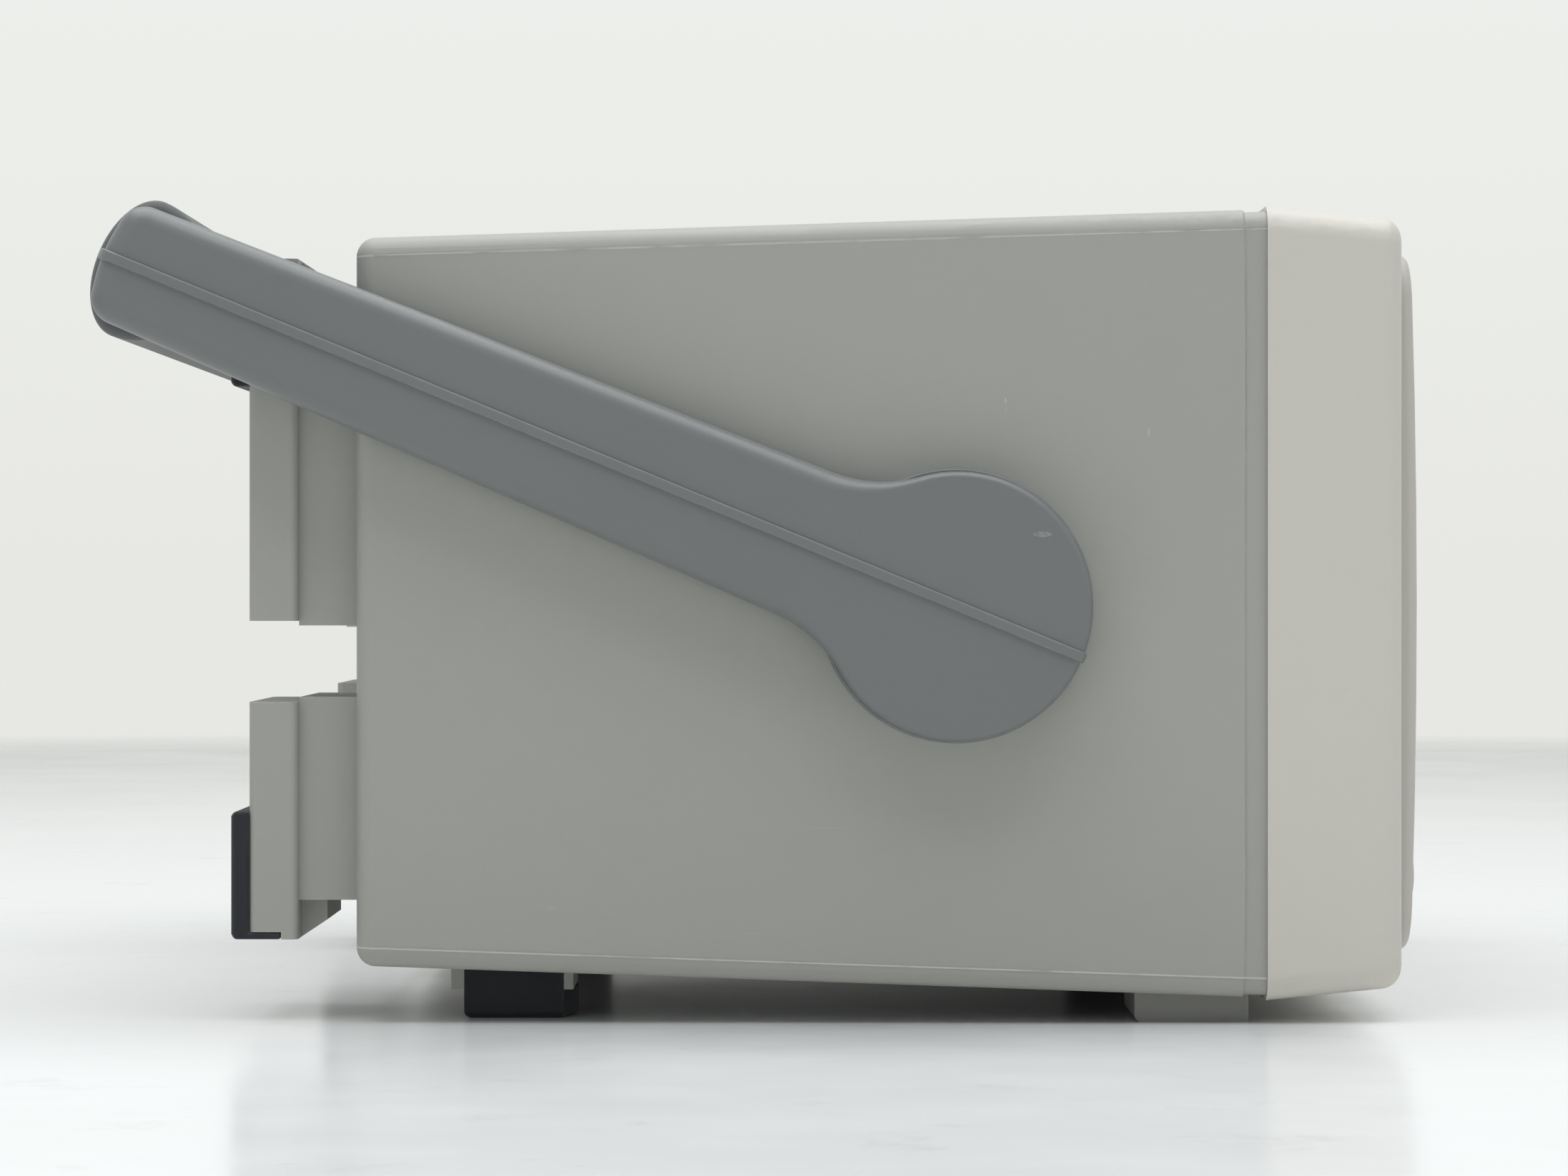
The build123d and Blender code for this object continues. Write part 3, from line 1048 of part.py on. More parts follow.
def make_case_screws():
    """Four screws through the case's rear wall and four through the fan guard."""
    screws = [screw(CASE_SCREW_RADIUS, CASE_REAR, REAR_PLATE_FRONT - CASE_SCREW_END, x, z)
              for x, z in case_screw_places()]
    guard_rear = REAR_PLATE_REAR + 2 * GUARD_WIRE
    screws += [screw(FAN_SCREW_RADIUS, guard_rear, REAR_PLATE_FRONT - FAN_SCREW_END, x, z)
               for x, z in fan_corners()]
    return Compound(children=screws)


def screws_of_foot(tip, end):
    """X and Z of the two screws in the right-hand foot between two heights."""
    z = end + math.copysign(FOOT_SCREW_INSET, tip - end)
    middle = (FOOT_INNER + FOOT_OUTER) / 2
    return [(middle - FOOT_SCREW_PITCH / 2, z), (middle + FOOT_SCREW_PITCH / 2, z)]


def foot_screw_places():
    """X and Z of the screws in all four rear feet."""
    places = []
    for tip, end in FOOT_SPANS.values():
        places += screws_of_foot(tip, end)
    return places + [(-x, z) for x, z in places]


def make_foot_screws():
    """Two long screws for each rear foot."""
    seat = FLANGE_END - COUNTERBORE_DEPTH
    tip = REAR_PLATE_FRONT - FOOT_SCREW_END
    return Compound(children=[screw(FOOT_SCREW_RADIUS, seat, tip, x, z)
                              for x, z in foot_screw_places()])


# ---- feet ------------------------------------------------------------------
def make_front_foot(sign):
    """Moulded foot under the front edge, with a rounded rear corner."""
    outer = CASE_HALF - FRONT_FOOT_INSET
    points = [(FRONT_FOOT_START, 0), (FRONT_FOOT_END, 0),
              (FRONT_FOOT_END, case_bottom(FRONT_FOOT_END)),
              (CASE_FRONT + CASE_FRONT_CHAMFER, case_bottom(CASE_FRONT + CASE_FRONT_CHAMFER)),
              (CASE_FRONT, CASE_BOTTOM_FRONT + CASE_FRONT_CHAMFER),
              (CASE_FRONT, CASE_BOTTOM_FRONT + COLLAR_DROP),
              (FRONT_FOOT_START, case_bottom(FRONT_FOOT_START) + COLLAR_DROP)]
    foot = side_profile(points, outer - FRONT_FOOT_WIDTH, outer)
    corner = [edge for edge in foot.edges()
              if edge.bounding_box().max.Z < FIND_WITHIN
              and edge.bounding_box().min.Y > FRONT_FOOT_END - FIND_WITHIN]
    return on_side(fillet(corner, FRONT_FOOT_RADIUS), sign)


def make_base_pad(sign):
    """Rubber pad under the rear, held by the case's lips, with a bulged front end."""
    outer = CASE_HALF - PAD_INSET
    inner = outer - PAD_WIDTH
    points = [(PAD_START, 0), (PAD_END, 0), (PAD_END, case_bottom(PAD_END)),
              (PAD_START, case_bottom(PAD_START))]
    pad = side_profile(points, inner, outer)
    bulge_radius = ((PAD_WIDTH / 2) ** 2 + PAD_BULGE ** 2) / (2 * PAD_BULGE)
    bulge = rod_up(bulge_radius, 0, LIP_HEIGHT, (outer + inner) / 2,
                   PAD_START - PAD_BULGE + bulge_radius)
    pad += bulge & block(inner, outer, PAD_START - PAD_BULGE, PAD_START + CUT_PAST,
                         0, LIP_HEIGHT)
    low_edges = pad.faces().sort_by(Axis.Z)[0].edges()
    return on_side(fillet(low_edges, PAD_RADIUS), sign)


def make_rear_foot(tip, end, sign):
    """Stand-off behind the case: a web, and a wider flange with a rebate for its bumper."""
    way = math.copysign(1, tip - end)
    web_tip = tip - way * WEB_TIP_INSET
    web = block(FOOT_INNER + WEB_INSET, FOOT_OUTER - WEB_INSET, CASE_REAR, FLANGE_START,
                web_tip, end - way * WEB_END_OVERHANG)
    flange = block(FOOT_INNER, FOOT_OUTER, FLANGE_START, FLANGE_END, tip, end)
    upright = [edge for edge in flange.edges() if abs((edge % 0.5).Z) > 0.9]
    flange = fillet(upright, REAR_FOOT_RADIUS)
    gusset = side_profile([(FLANGE_START, tip),
                           (FLANGE_START - GUSSET_LENGTH, tip - way * GUSSET_DROP),
                           (FLANGE_START - GUSSET_LENGTH, web_tip), (FLANGE_START, web_tip)],
                          FOOT_INNER + GUSSET_INSET, FOOT_OUTER - GUSSET_INSET)
    foot = web + flange + gusset
    foot -= block(FOOT_INNER - CUT_PAST, FOOT_OUTER + CUT_PAST, FLANGE_END - BUMPER_RUN,
                  FLANGE_END + CUT_PAST, tip + way * CUT_PAST, tip - way * BUMPER_WRAP)
    rear = FLANGE_END + CUT_PAST
    for x, z in screws_of_foot(tip, end):
        foot -= rod(FOOT_SCREW_RADIUS + SCREW_PLAY, CASE_REAR - CUT_PAST, rear, x, z)
        foot -= rod(COUNTERBORE_RADIUS, FLANGE_END - COUNTERBORE_DEPTH, rear, x, z)
    return on_side(foot, sign)


def make_rear_bumper(tip, end, sign):
    """L-shaped rubber bumper on a rear foot's end."""
    way = math.copysign(1, tip - end)
    seat = tip - way * BUMPER_WRAP
    bumper = block(FOOT_INNER, FOOT_OUTER, FLANGE_END - BUMPER_RUN, BUMPER_REAR, seat, tip)
    bumper += block(FOOT_INNER, FOOT_OUTER, FLANGE_END, BUMPER_REAR,
                    seat, tip - way * BUMPER_SPAN)
    return on_side(fillet(rear_edges(bumper), BUMPER_RADIUS), sign)


# ---- handle ----------------------------------------------------------------
def handle_frame():
    """Moves a shape from the handle's own frame to its place at rest."""
    return Pos(0, PIVOT_Y, PIVOT_Z) * Rot(HANDLE_ANGLE, 0, 0)


def arm_outline():
    """Side view of an arm: round hub, throat and tapering arm."""
    arm = Polygon((0, -ARM_HALF_AT_HUB), (ARM_LENGTH, -ARM_HALF_AT_END),
                  (ARM_LENGTH, ARM_HALF_AT_END), (0, ARM_HALF_AT_HUB), align=None)
    outline = Circle(HUB_RADIUS) + arm
    ends = [v for v in outline.vertices() if v.X > ARM_LENGTH / 2]
    outline = fillet(ends, ARM_END_RADIUS)
    throats = [v for v in outline.vertices()
               if 0 < v.X < HUB_RADIUS and abs(v.Y) > ARM_HALF_AT_END / 2]
    return fillet(throats, ARM_THROAT_RADIUS)


def arm_body(grow):
    """An arm's rounded body, grown outwards by an amount."""
    outline = arm_outline()
    if grow > 0:
        outline = offset(outline, amount=grow, kind=Kind.ARC)
    body = extrude(Plane.YZ.offset(ARM_INNER) * outline, amount=ARM_THICKNESS + grow)
    outer_edges = body.faces().sort_by(Axis.X)[-1].edges()
    return fillet(outer_edges, ARM_EDGE_RADIUS + grow)


def crossbar_section(grow):
    """Outline of the crossbar's core, grown outwards by an amount."""
    return Pos(GRIP_CENTRE, 0) * RectangleRounded(CORE_WIDTH + 2 * grow, CORE_HEIGHT + 2 * grow,
                                                  CORE_CORNER + grow)


def tenon_section(grow):
    """Outline of the crossbar's narrower end, grown outwards by an amount."""
    return Pos(GRIP_CENTRE - TENON_SHIFT, 0) * Rectangle(
        CORE_WIDTH - 2 * TENON_INSET + 2 * grow, CORE_HEIGHT - 2 * TENON_INSET + 2 * grow)


def drawn_across(outline, start, end):
    """An outline in the handle's side view, drawn out along X between two stations."""
    return extrude(Plane.YZ.offset(start) * outline, amount=end - start)


def make_handle_arm(sign):
    """Handle arm with its hub, pivot bore, crossbar pocket and raised centre rib."""
    arm = arm_body(0.0)
    rib_slab = block(ARM_INNER, ARM_INNER + ARM_THICKNESS + RIB_HEIGHT,
                     -HUB_RADIUS, ARM_LENGTH + RIB_HEIGHT, -RIB_WIDTH / 2, RIB_WIDTH / 2)
    arm += arm_body(RIB_HEIGHT) & rib_slab
    arm -= cross_rod(PIVOT_RADIUS + SHAFT_PLAY, ARM_INNER - CUT_PAST,
                     ARM_INNER + PIVOT_LENGTH, 0, 0)
    arm -= drawn_across(tenon_section(GRIP_FIT), ARM_INNER - CUT_PAST,
                        ARM_INNER + TENON_DEPTH + GRIP_FIT)
    return on_side(handle_frame() * arm, sign)


def make_handle_crossbar():
    """Stiff bar between the arms, with a tenon at each end."""
    tenon_end = ARM_INNER + TENON_DEPTH
    bar = drawn_across(crossbar_section(0.0), -ARM_INNER, ARM_INNER)
    bar += drawn_across(tenon_section(0.0), -tenon_end, tenon_end)
    return handle_frame() * bar


def make_handle_grip():
    """Soft sleeve on the crossbar: flatter outside, fuller towards the case."""
    halves = []
    for reach, way in ((GRIP_OUTER, 1), (GRIP_INNER, -1)):
        window = Pos(way * reach, 0) * Rectangle(2 * reach, 3 * GRIP_HALF_HEIGHT)
        halves.append(Ellipse(reach, GRIP_HALF_HEIGHT) & window)
    profile = Pos(GRIP_CENTRE, 0) * (halves[0] + halves[1]) - crossbar_section(GRIP_FIT)
    half = ARM_INNER - GRIP_END_GAP
    return handle_frame() * drawn_across(profile, -half, half)


def make_handle_pivot(sign):
    """Fixed pivot: base disc on the case, shaft for the arm and a stud into the chassis."""
    pivot = cross_rod(BASE_DISC_RADIUS, CASE_HALF, DISC_OUTER, PIVOT_Y, PIVOT_Z)
    pivot = fillet(pivot.faces().sort_by(Axis.X)[-1].edges(), BASE_DISC_EDGE)
    pivot += cross_rod(PIVOT_RADIUS, CHASSIS_HALF_WIDTH,
                       ARM_INNER + PIVOT_LENGTH - ASSEMBLY_GAP, PIVOT_Y, PIVOT_Z)
    pivot += cross_rod(STUD_RADIUS, CHASSIS_HALF_WIDTH - STUD_LENGTH, CHASSIS_HALF_WIDTH,
                       PIVOT_Y, PIVOT_Z)
    return on_side(pivot, sign)


# ---- assembly --------------------------------------------------------------
def build_nodes():
    """Every named piece, in the working frame."""
    nodes = {
        "cabinet_shell": make_cabinet_shell(),
        "front_bezel": make_front_bezel(),
        "front_panel": make_front_panel(),
        "display_window": make_display_window(),
        "lcd_module": make_lcd_module(),
        "display_bracket": make_display_bracket(),
        "control_board": make_control_board(),
        "chassis_frame": make_chassis_frame(),
        "main_board": make_main_board(),
        "acquisition_module": make_acquisition_module(),
        "power_supply": make_power_supply(),
        "rear_panel": make_rear_panel(),
        "fan_frame": make_fan_frame(),
        "fan_rotor": make_fan_rotor(),
        "fan_guard": make_fan_guard(),
        "mains_inlet": make_mains_inlet(),
        "bus_socket": make_bus_socket(),
        "disk_drive": make_disk_drive(),
        "disk_eject_button": make_eject_button(),
        "probe_calibrator": make_probe_calibrator(),
        "power_button": make_power_button(),
        "case_screws": make_case_screws(),
        "foot_screws": make_foot_screws(),
        "handle_crossbar": make_handle_crossbar(),
        "handle_grip": make_handle_grip(),
    }
    for name, x, z, radius in small_knobs():
        nodes[name] = make_knob(x, z, radius)
    for name, x, z, width, height in key_places():
        nodes[name] = make_key(x, z, width, height)
    socket_face = panel_surface(SOCKET_Z + SOCKET_FLANGE)
    for index, x in enumerate(channel_places()):
        nodes[f"input_socket_{index + 1}"] = make_coaxial_socket(x, SOCKET_Z, socket_face, -1)
    nodes["trigger_socket"] = make_coaxial_socket(REAR_SOCKET_X, REAR_SOCKET_Z,
                                                  REAR_PLATE_REAR, 1)
    for side, sign in SIDES.items():
        nodes[f"front_foot_{side}"] = make_front_foot(sign)
        nodes[f"base_pad_{side}"] = make_base_pad(sign)
        nodes[f"handle_pivot_{side}"] = make_handle_pivot(sign)
        nodes[f"handle_arm_{side}"] = make_handle_arm(sign)
        for level, (tip, end) in FOOT_SPANS.items():
            nodes[f"rear_foot_{level}_{side}"] = make_rear_foot(tip, end, sign)
            nodes[f"rear_bumper_{level}_{side}"] = make_rear_bumper(tip, end, sign)
    return nodes


def middle_of(nodes):
    """Y of the middle of the whole object's box."""
    boxes = [shape.bounding_box() for shape in nodes.values()]
    return (min(box.min.Y for box in boxes) + max(box.max.Y for box in boxes)) / 2


NODES = build_nodes()
Y_SHIFT = -middle_of(NODES)
os.makedirs("parts", exist_ok=True)
for name, shape in NODES.items():
    export_step(Pos(0, Y_SHIFT, 0) * shape, f"parts/{name}.step")
print(f"{len(NODES)} nodes, moved {Y_SHIFT:.4f} mm along Y")
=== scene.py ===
"""Looks of a portable bench oscilloscope: moulded case, swinging carry handle, rubber
feet, front controls and rear connectors, with a plain studio stage."""
import json
import math

import bmesh
import bpy
from mathutils import Euler, Matrix, Vector


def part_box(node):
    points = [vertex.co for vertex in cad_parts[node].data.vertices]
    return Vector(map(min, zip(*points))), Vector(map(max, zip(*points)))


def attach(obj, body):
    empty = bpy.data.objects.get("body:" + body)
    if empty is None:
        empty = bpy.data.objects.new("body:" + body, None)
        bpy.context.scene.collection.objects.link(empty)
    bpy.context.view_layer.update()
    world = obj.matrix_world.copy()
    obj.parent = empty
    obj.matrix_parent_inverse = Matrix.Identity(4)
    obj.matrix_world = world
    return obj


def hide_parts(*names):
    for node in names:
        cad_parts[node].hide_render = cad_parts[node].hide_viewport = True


bl_info = {
    "name": "Bench oscilloscope looks",
    "version": (1, 0, 0),
    "blender": (4, 5, 0),
    "location": "View3D > Sidebar > Oscilloscope",
    "description": "Builds the visible pieces and finishes of a bench oscilloscope",
    "category": "Object",
}

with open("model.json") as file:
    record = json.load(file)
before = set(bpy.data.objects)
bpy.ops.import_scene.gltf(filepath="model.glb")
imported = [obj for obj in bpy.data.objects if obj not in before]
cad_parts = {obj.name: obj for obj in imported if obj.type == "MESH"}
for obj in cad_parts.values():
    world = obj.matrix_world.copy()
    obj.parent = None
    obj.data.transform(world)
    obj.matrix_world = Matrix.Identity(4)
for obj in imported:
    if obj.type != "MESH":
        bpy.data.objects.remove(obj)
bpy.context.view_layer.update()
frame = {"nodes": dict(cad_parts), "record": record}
RECORD = frame["record"]
NODES = frame["nodes"]
JOINTS = {joint["name"]: joint for joint in RECORD["behaviour"]["joints"]}
BODY_OF = {node: body for body, names in RECORD["behaviour"]["bodies"].items()
           for node in names}
SLOT_OF = {part["node"]: part["material_slot"] for part in RECORD["subparts"]}
PIVOT = Vector(JOINTS["handle_swing"]["pos_m"])
MM = 0.001
MERGE = 2e-6                  # points nearer than this are one point

# fits of the remade pieces to the CAD nodes beside them
PIVOT_BORE = 9.05 * MM        # radius of an arm's bore over the pivot's shaft
BORE_DEPTH = 8.0 * MM
POCKET_DEPTH = 6.1 * MM       # pocket for the crossbar's tenon
POCKET_HALF = 9.1 * MM
POCKET_TO_HUB = 5.6 * MM
POCKET_TO_END = 3.6 * MM
GRIP_HALF = 18.5 * MM         # half the soft grip's height
GRIP_OUTER = 11.0 * MM        # from the grip's middle to its outer face
GRIP_INNER = 18.0 * MM
KNOB_DEPTH = 14.0 * MM        # from a knob's face to its back
KNOB_SHAFT = 3.0 * MM
KEY_PROUD = 1.8 * MM          # how far the keys stand out of the panel
SIDE_START = 150.0 * MM       # places further out than this are on the case's sides
DOT_PITCH = 0.6 * MM          # spacing of the display's dots


# ---- boxes and directions taken from the frame ----
def corners(node):
    """Lowest and highest corner of a node, as vectors."""
    low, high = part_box(node)
    return Vector(low), Vector(high)


def middle(node):
    """Middle of a node's box."""
    low, high = corners(node)
    return (low + high) / 2


GRIP_PLACE = middle("handle_crossbar") - PIVOT
HANDLE_TURN = math.atan2(GRIP_PLACE.z, GRIP_PLACE.y)
GRIP_REACH = math.hypot(GRIP_PLACE.y, GRIP_PLACE.z)


def handle_matrix():
    """Turns the handle's own frame, with Y along the arm, to its place at rest."""
    place = Matrix.Translation(Vector((0.0, PIVOT.y, PIVOT.z)))
    return place @ Matrix.Rotation(HANDLE_TURN, 4, "X")


# ---- settings ----
def length(name, description, default):
    """A length property in metres."""
    return bpy.props.FloatProperty(name=name, description=description, default=default,
                                   min=0.0, unit="LENGTH")


def tint(name, description, default):
    """A colour property."""
    return bpy.props.FloatVectorProperty(name=name, description=description,
                                         default=default, size=3, min=0.0, max=1.0,
                                         subtype="COLOR")


def power(name, description, default):
    """A light's power in watts."""
    return bpy.props.FloatProperty(name=name, description=description, default=default,
                                   min=0.0, unit="POWER")


def share(name, description, default):
    """A share between nothing and all."""
    return bpy.props.FloatProperty(name=name, description=description, default=default,
                                   min=0.0, max=1.0, subtype="FACTOR")


class OscilloscopeHandleSettings(bpy.types.PropertyGroup):
    """Shape of the carry handle's soft edges."""
    hub_radius: length("Hub radius", "Radius of the round hub", 0.0342)
    throat_radius: length("Throat radius", "Hollow curve between hub and arm", 0.035)
    half_at_hub: length("Half height at the hub", "Arm's half height at the hub", 0.0203)
    half_at_end: length("Half height at the end", "Arm's half height at its end", 0.0156)
    end_past_grip: length("End past the grip", "Arm's end past the grip's middle", 0.008)
    end_corner: length("End corner", "Corner radius of the arm's end", 0.007)
    end_bow: length("End bow", "How far the arm's end bulges", 0.0009)
    arm_rounding: length("Arm rounding", "Edge rounding along the arm", 0.0048)
    hub_rounding: length("Hub rounding", "Edge rounding round the hub", 0.0017)
    rib_width: length("Rib width", "Width of the raised centre rib", 0.0028)
    rib_height: length("Rib height", "Height of the raised centre rib", 0.0009)
    grip_rounding: length("Grip rounding", "Rounding of the soft grip's ends", 0.0034)


class OscilloscopeCaseSettings(bpy.types.PropertyGroup):
    """Parting lines along the case's sides."""
    seam_inset: length("Seam inset", "Parting line in from the case's edge", 0.0049)
    seam_width: length("Seam width", "Width of the pale parting line", 0.0006)
    top_fall: length("Top fall", "How far the case's top falls to the rear", 0.0073)
    bottom_rise: length("Bottom rise", "How far the case's bottom rises to the rear", 0.008)


class OscilloscopeFootSettings(bpy.types.PropertyGroup):
    """Edge rounding of feet, bumpers and pads."""
    foot_rounding: length("Foot rounding", "Edge rounding of the moulded feet", 0.0011)
    rubber_rounding: length("Rubber rounding", "Edge rounding of bumpers and pads", 0.0009)


class OscilloscopeControlSettings(bpy.types.PropertyGroup):
    """Knobs, keys and marks on the front."""
    flute_depth: length("Flute depth", "Depth of the grooves round a knob", 0.00055)
    mark_height: length("Mark height", "How far a coloured mark stands out", 0.0003)
    mark_width: length("Mark width", "Length of a channel's coloured mark", 0.0130)


class OscilloscopeColourSettings(bpy.types.PropertyGroup):
    """Colours of the mouldings and rubbers."""
    case: tint("Case", "Grey of the case", (0.395, 0.405, 0.385))
    bezel: tint("Bezel", "Warm pale grey of the front bezel", (0.66, 0.645, 0.600))
    panel: tint("Front panel", "Warm grey of the front panel", (0.560, 0.548, 0.512))
    front_foot: tint("Front feet", "Darker grey of the front feet", (0.27, 0.275, 0.262))
    handle: tint("Handle", "Darker grey of the handle", (0.178, 0.193, 0.197))
    grip: tint("Grip", "Dark grey of the soft grip", (0.105, 0.112, 0.122))
    rubber: tint("Rubber", "Near-black of the bumpers and pads", (0.016, 0.019, 0.026))
    key: tint("Keys", "Grey of the keys", (0.40, 0.405, 0.392))
    accent: tint("Run key", "Blue grey of the run key", (0.085, 0.175, 0.30))
    knob: tint("Knobs", "Dark grey of the knobs", (0.070, 0.075, 0.082))
    wear: share("Wear", "How much the edges are rubbed", 0.35)
    dust: share("Dust", "How much dust lies on top", 0.18)


class OscilloscopeStageSettings(bpy.types.PropertyGroup):
    """Camera, floor and lights."""
    camera_distance: length("Camera distance", "From the middle to the camera", 1.470)
    camera_height: length("Camera height", "Above the floor", 0.112)
    camera_lens: bpy.props.FloatProperty(name="Lens", description="Focal length",
                                         default=116.4, min=10.0, unit="CAMERA")
    floor_radius: length("Floor radius", "Where the floor starts to fade", 2.05)
    key_power: power("Overhead light", "Power of the overhead light", 38.0)
    side_power: power("Side light", "Power of each side light", 0.8)


# ---- small tools ----
def settings(name):
    """One of the scene's groups of settings."""
    return getattr(bpy.context.scene, f"oscilloscope_{name}")


def linked(name, data):
    """A new object in the scene."""
    made = bpy.data.objects.new(name, data)
    bpy.context.scene.collection.objects.link(made)
    return made


def meshed(name, shape):
    """A new object in the scene from a bmesh, which is used up."""
    mesh = bpy.data.meshes.new(name)
    shape.to_mesh(mesh)
    shape.free()
    return linked(name, mesh)


def smooth(mesh):
    """Smooth shading on every face."""
    mesh.polygons.foreach_set("use_smooth", [True] * len(mesh.polygons))


def new_piece(name, shape, body, slot, *replaced):
    """A finished object from a bmesh, riding on a body and standing for CAD nodes."""
    piece = meshed(name, shape)
    smooth(piece.data)
    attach(piece, body)
    if replaced:
        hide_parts(*replaced)
    return piece


def clean_shading(piece, angle=32.0):
    """Sharp edges stay sharp and flat faces stay flat under smooth shading."""
    split = piece.modifiers.new("Sharp edges", "EDGE_SPLIT")
    split.split_angle = math.radians(angle)
    weighted = piece.modifiers.new("Flat faces", "WEIGHTED_NORMAL")
    weighted.weight = 60


def paint(piece, material):
    """Gives a piece one material."""
    slots = piece.material_slots
    if not slots:
        piece.data.materials.append(material)
    for slot in slots:
        slot.material = material


def dress(piece, material, angle=32.0):
    """Cleans a piece's shading and gives it its finish."""
    clean_shading(piece, angle)
    paint(piece, material)


def finish_node(name, material):
    """A CAD node kept as it is, with smooth curved faces and its own finish."""
    piece = NODES[name]
    smooth(piece.data)
    weld = piece.modifiers.new("Joined points", "WELD")
    weld.merge_threshold = MERGE
    dress(piece, material)


def node_copy(name):
    """A merged copy of a CAD node's mesh, with its flat faces whole."""
    copy = bmesh.new()
    copy.from_mesh(NODES[name].data)
    bmesh.ops.remove_doubles(copy, verts=copy.verts, dist=MERGE)
    bmesh.ops.dissolve_limit(copy, angle_limit=math.radians(0.6), verts=copy.verts,
                             edges=copy.edges)
    return copy


def soften(shape, width, angle=34.0, segments=3):
    """Rounds the edges of a bmesh that are sharper than an angle."""
    sharp = [edge for edge in shape.edges if len(edge.link_faces) == 2
             and edge.calc_face_angle() > math.radians(angle)]
    bmesh.ops.bevel(shape, geom=sharp, offset=width, offset_type="OFFSET",
                    segments=segments, profile=0.5, affect="EDGES", clamp_overlap=True,
                    material=-1)


def softened_piece(name, width, material):
    """A copy of a CAD node with its sharp edges rounded, standing for the node."""
    shape = node_copy(name)
    soften(shape, width)
    piece = new_piece(name + "_moulded", shape, BODY_OF[name], SLOT_OF[name], name)
    dress(piece, material, 40.0)


def applied(piece):
    """Puts a piece's modifiers into its mesh."""
    graph = bpy.context.evaluated_depsgraph_get()
    graph.update()
    mesh = bpy.data.meshes.new_from_object(piece.evaluated_get(graph))
    piece.modifiers.clear()
    old = piece.data
    piece.data = mesh
    bpy.data.meshes.remove(old)


def outline_face(shape, points):
    """A flat face through points."""
    return shape.faces.new([shape.verts.new(point) for point in points])


def pull(shape, face, shift):
    """Extrudes a face by a vector and returns the moved points."""
    made = bmesh.ops.extrude_face_region(shape, geom=[face])
    verts = [item for item in made["geom"] if isinstance(item, bmesh.types.BMVert)]
    bmesh.ops.translate(shape, verts=verts, vec=shift)
    return verts


def block_into(shape, low, high, rounding=0.0):
    """Adds a box with rounded edges to a bmesh."""
    low, high = Vector(low), Vector(high)
    size = high - low
    matrix = Matrix.Translation((low + high) / 2) @ Matrix.Diagonal((*size, 1.0))
    made = bmesh.ops.create_cube(shape, size=1.0, matrix=matrix)
    if rounding:
        edges = list({edge for vert in made["verts"] for edge in vert.link_edges})
        bmesh.ops.bevel(shape, geom=edges, offset=rounding, offset_type="OFFSET",
                        segments=2, profile=0.5, affect="EDGES", clamp_overlap=True,
                        material=-1)


# ---- node tools ----
def place(tree, kind, inputs=None, **values):
    """Adds a node; inputs are plain values or other nodes' outputs."""
    made = tree.nodes.new(kind)
    for key, value in values.items():
        setattr(made, key, value)
    for key, value in (inputs or {}).items():
        if isinstance(value, bpy.types.NodeSocket):
            tree.links.new(value, made.inputs[key])
        else:
            made.inputs[key].default_value = value
    return made


def maths(tree, operation, first, second=0.0, clamp=False):
    """Output of a Math node."""
    return place(tree, "ShaderNodeMath", {0: first, 1: second}, operation=operation,
                 use_clamp=clamp).outputs[0]


def times(tree, first, second, clamp=False):
    """First number times the second."""
    return maths(tree, "MULTIPLY", first, second, clamp)


def plus(tree, first, second, clamp=False):
    """First number plus the second."""
    return maths(tree, "ADD", first, second, clamp)


def minus(tree, first, second, clamp=False):
    """First number less the second."""
    return maths(tree, "SUBTRACT", first, second, clamp)


def spread(tree, value, low, high, out_low=0.0, out_high=1.0):
    """Output of a clamped Map Range node."""
    inputs = {"Value": value, "From Min": low, "From Max": high,
              "To Min": out_low, "To Max": out_high}
    return place(tree, "ShaderNodeMapRange", inputs).outputs["Result"]


def blend_colour(tree, amount, first, second):
    """Output of a colour Mix node."""
    return place(tree, "ShaderNodeMix", {0: amount, 6: first, 7: second},
                 data_type="RGBA").outputs[2]


def toned(tree, colour, value):
    """A colour made lighter or darker by a value near one."""
    return place(tree, "ShaderNodeHueSaturation",
                 {"Value": value, "Color": colour}).outputs[0]


def clouds(tree, where, scale, detail=3.0, roughness=0.55):
    """Output of a Noise Texture."""
    inputs = {"Vector": where, "Scale": scale, "Detail": detail, "Roughness": roughness}
    return place(tree, "ShaderNodeTexNoise", inputs).outputs["Fac"]


def object_place(tree):
    """Object coordinates."""
    return tree.nodes.new("ShaderNodeTexCoord").outputs["Object"]


def stretched(tree, where, scale):
    """Coordinates scaled apart along the three axes."""
    return place(tree, "ShaderNodeMapping", {"Vector": where, "Scale": scale}).outputs[0]


def new_group(name, inputs, outputs):
    """An empty shader node group with its sockets."""
    group = bpy.data.node_groups.new(name, "ShaderNodeTree")
    for label, kind, default in inputs:
        socket = group.interface.new_socket(name=label, in_out="INPUT",
                                            socket_type="NodeSocket" + kind)
        socket.default_value = default
    for label, kind in outputs:
        group.interface.new_socket(name=label, in_out="OUTPUT",
                                   socket_type="NodeSocket" + kind)
    given = group.nodes.new("NodeGroupInput").outputs
    result = group.nodes.new("NodeGroupOutput").inputs
    return group, given, result


def deliver(group, result, **outputs):
    """Feeds a group's named outputs."""
    for label, value in outputs.items():
        group.links.new(value, result[label])


def use_group(tree, name, inputs):
    """Places a built group with its own values."""
    return place(tree, "ShaderNodeGroup", inputs,
                 node_tree=bpy.data.node_groups[name]).outputs


# ---- effects shared by materials ----
GREY_IN = ("Colour", "Color", (0.5, 0.5, 0.5, 1.0))
ROUGH_IN = ("Roughness", "Float", 0.5)
FINISH_OUT = (("Colour", "Color"), ("Roughness", "Float"))


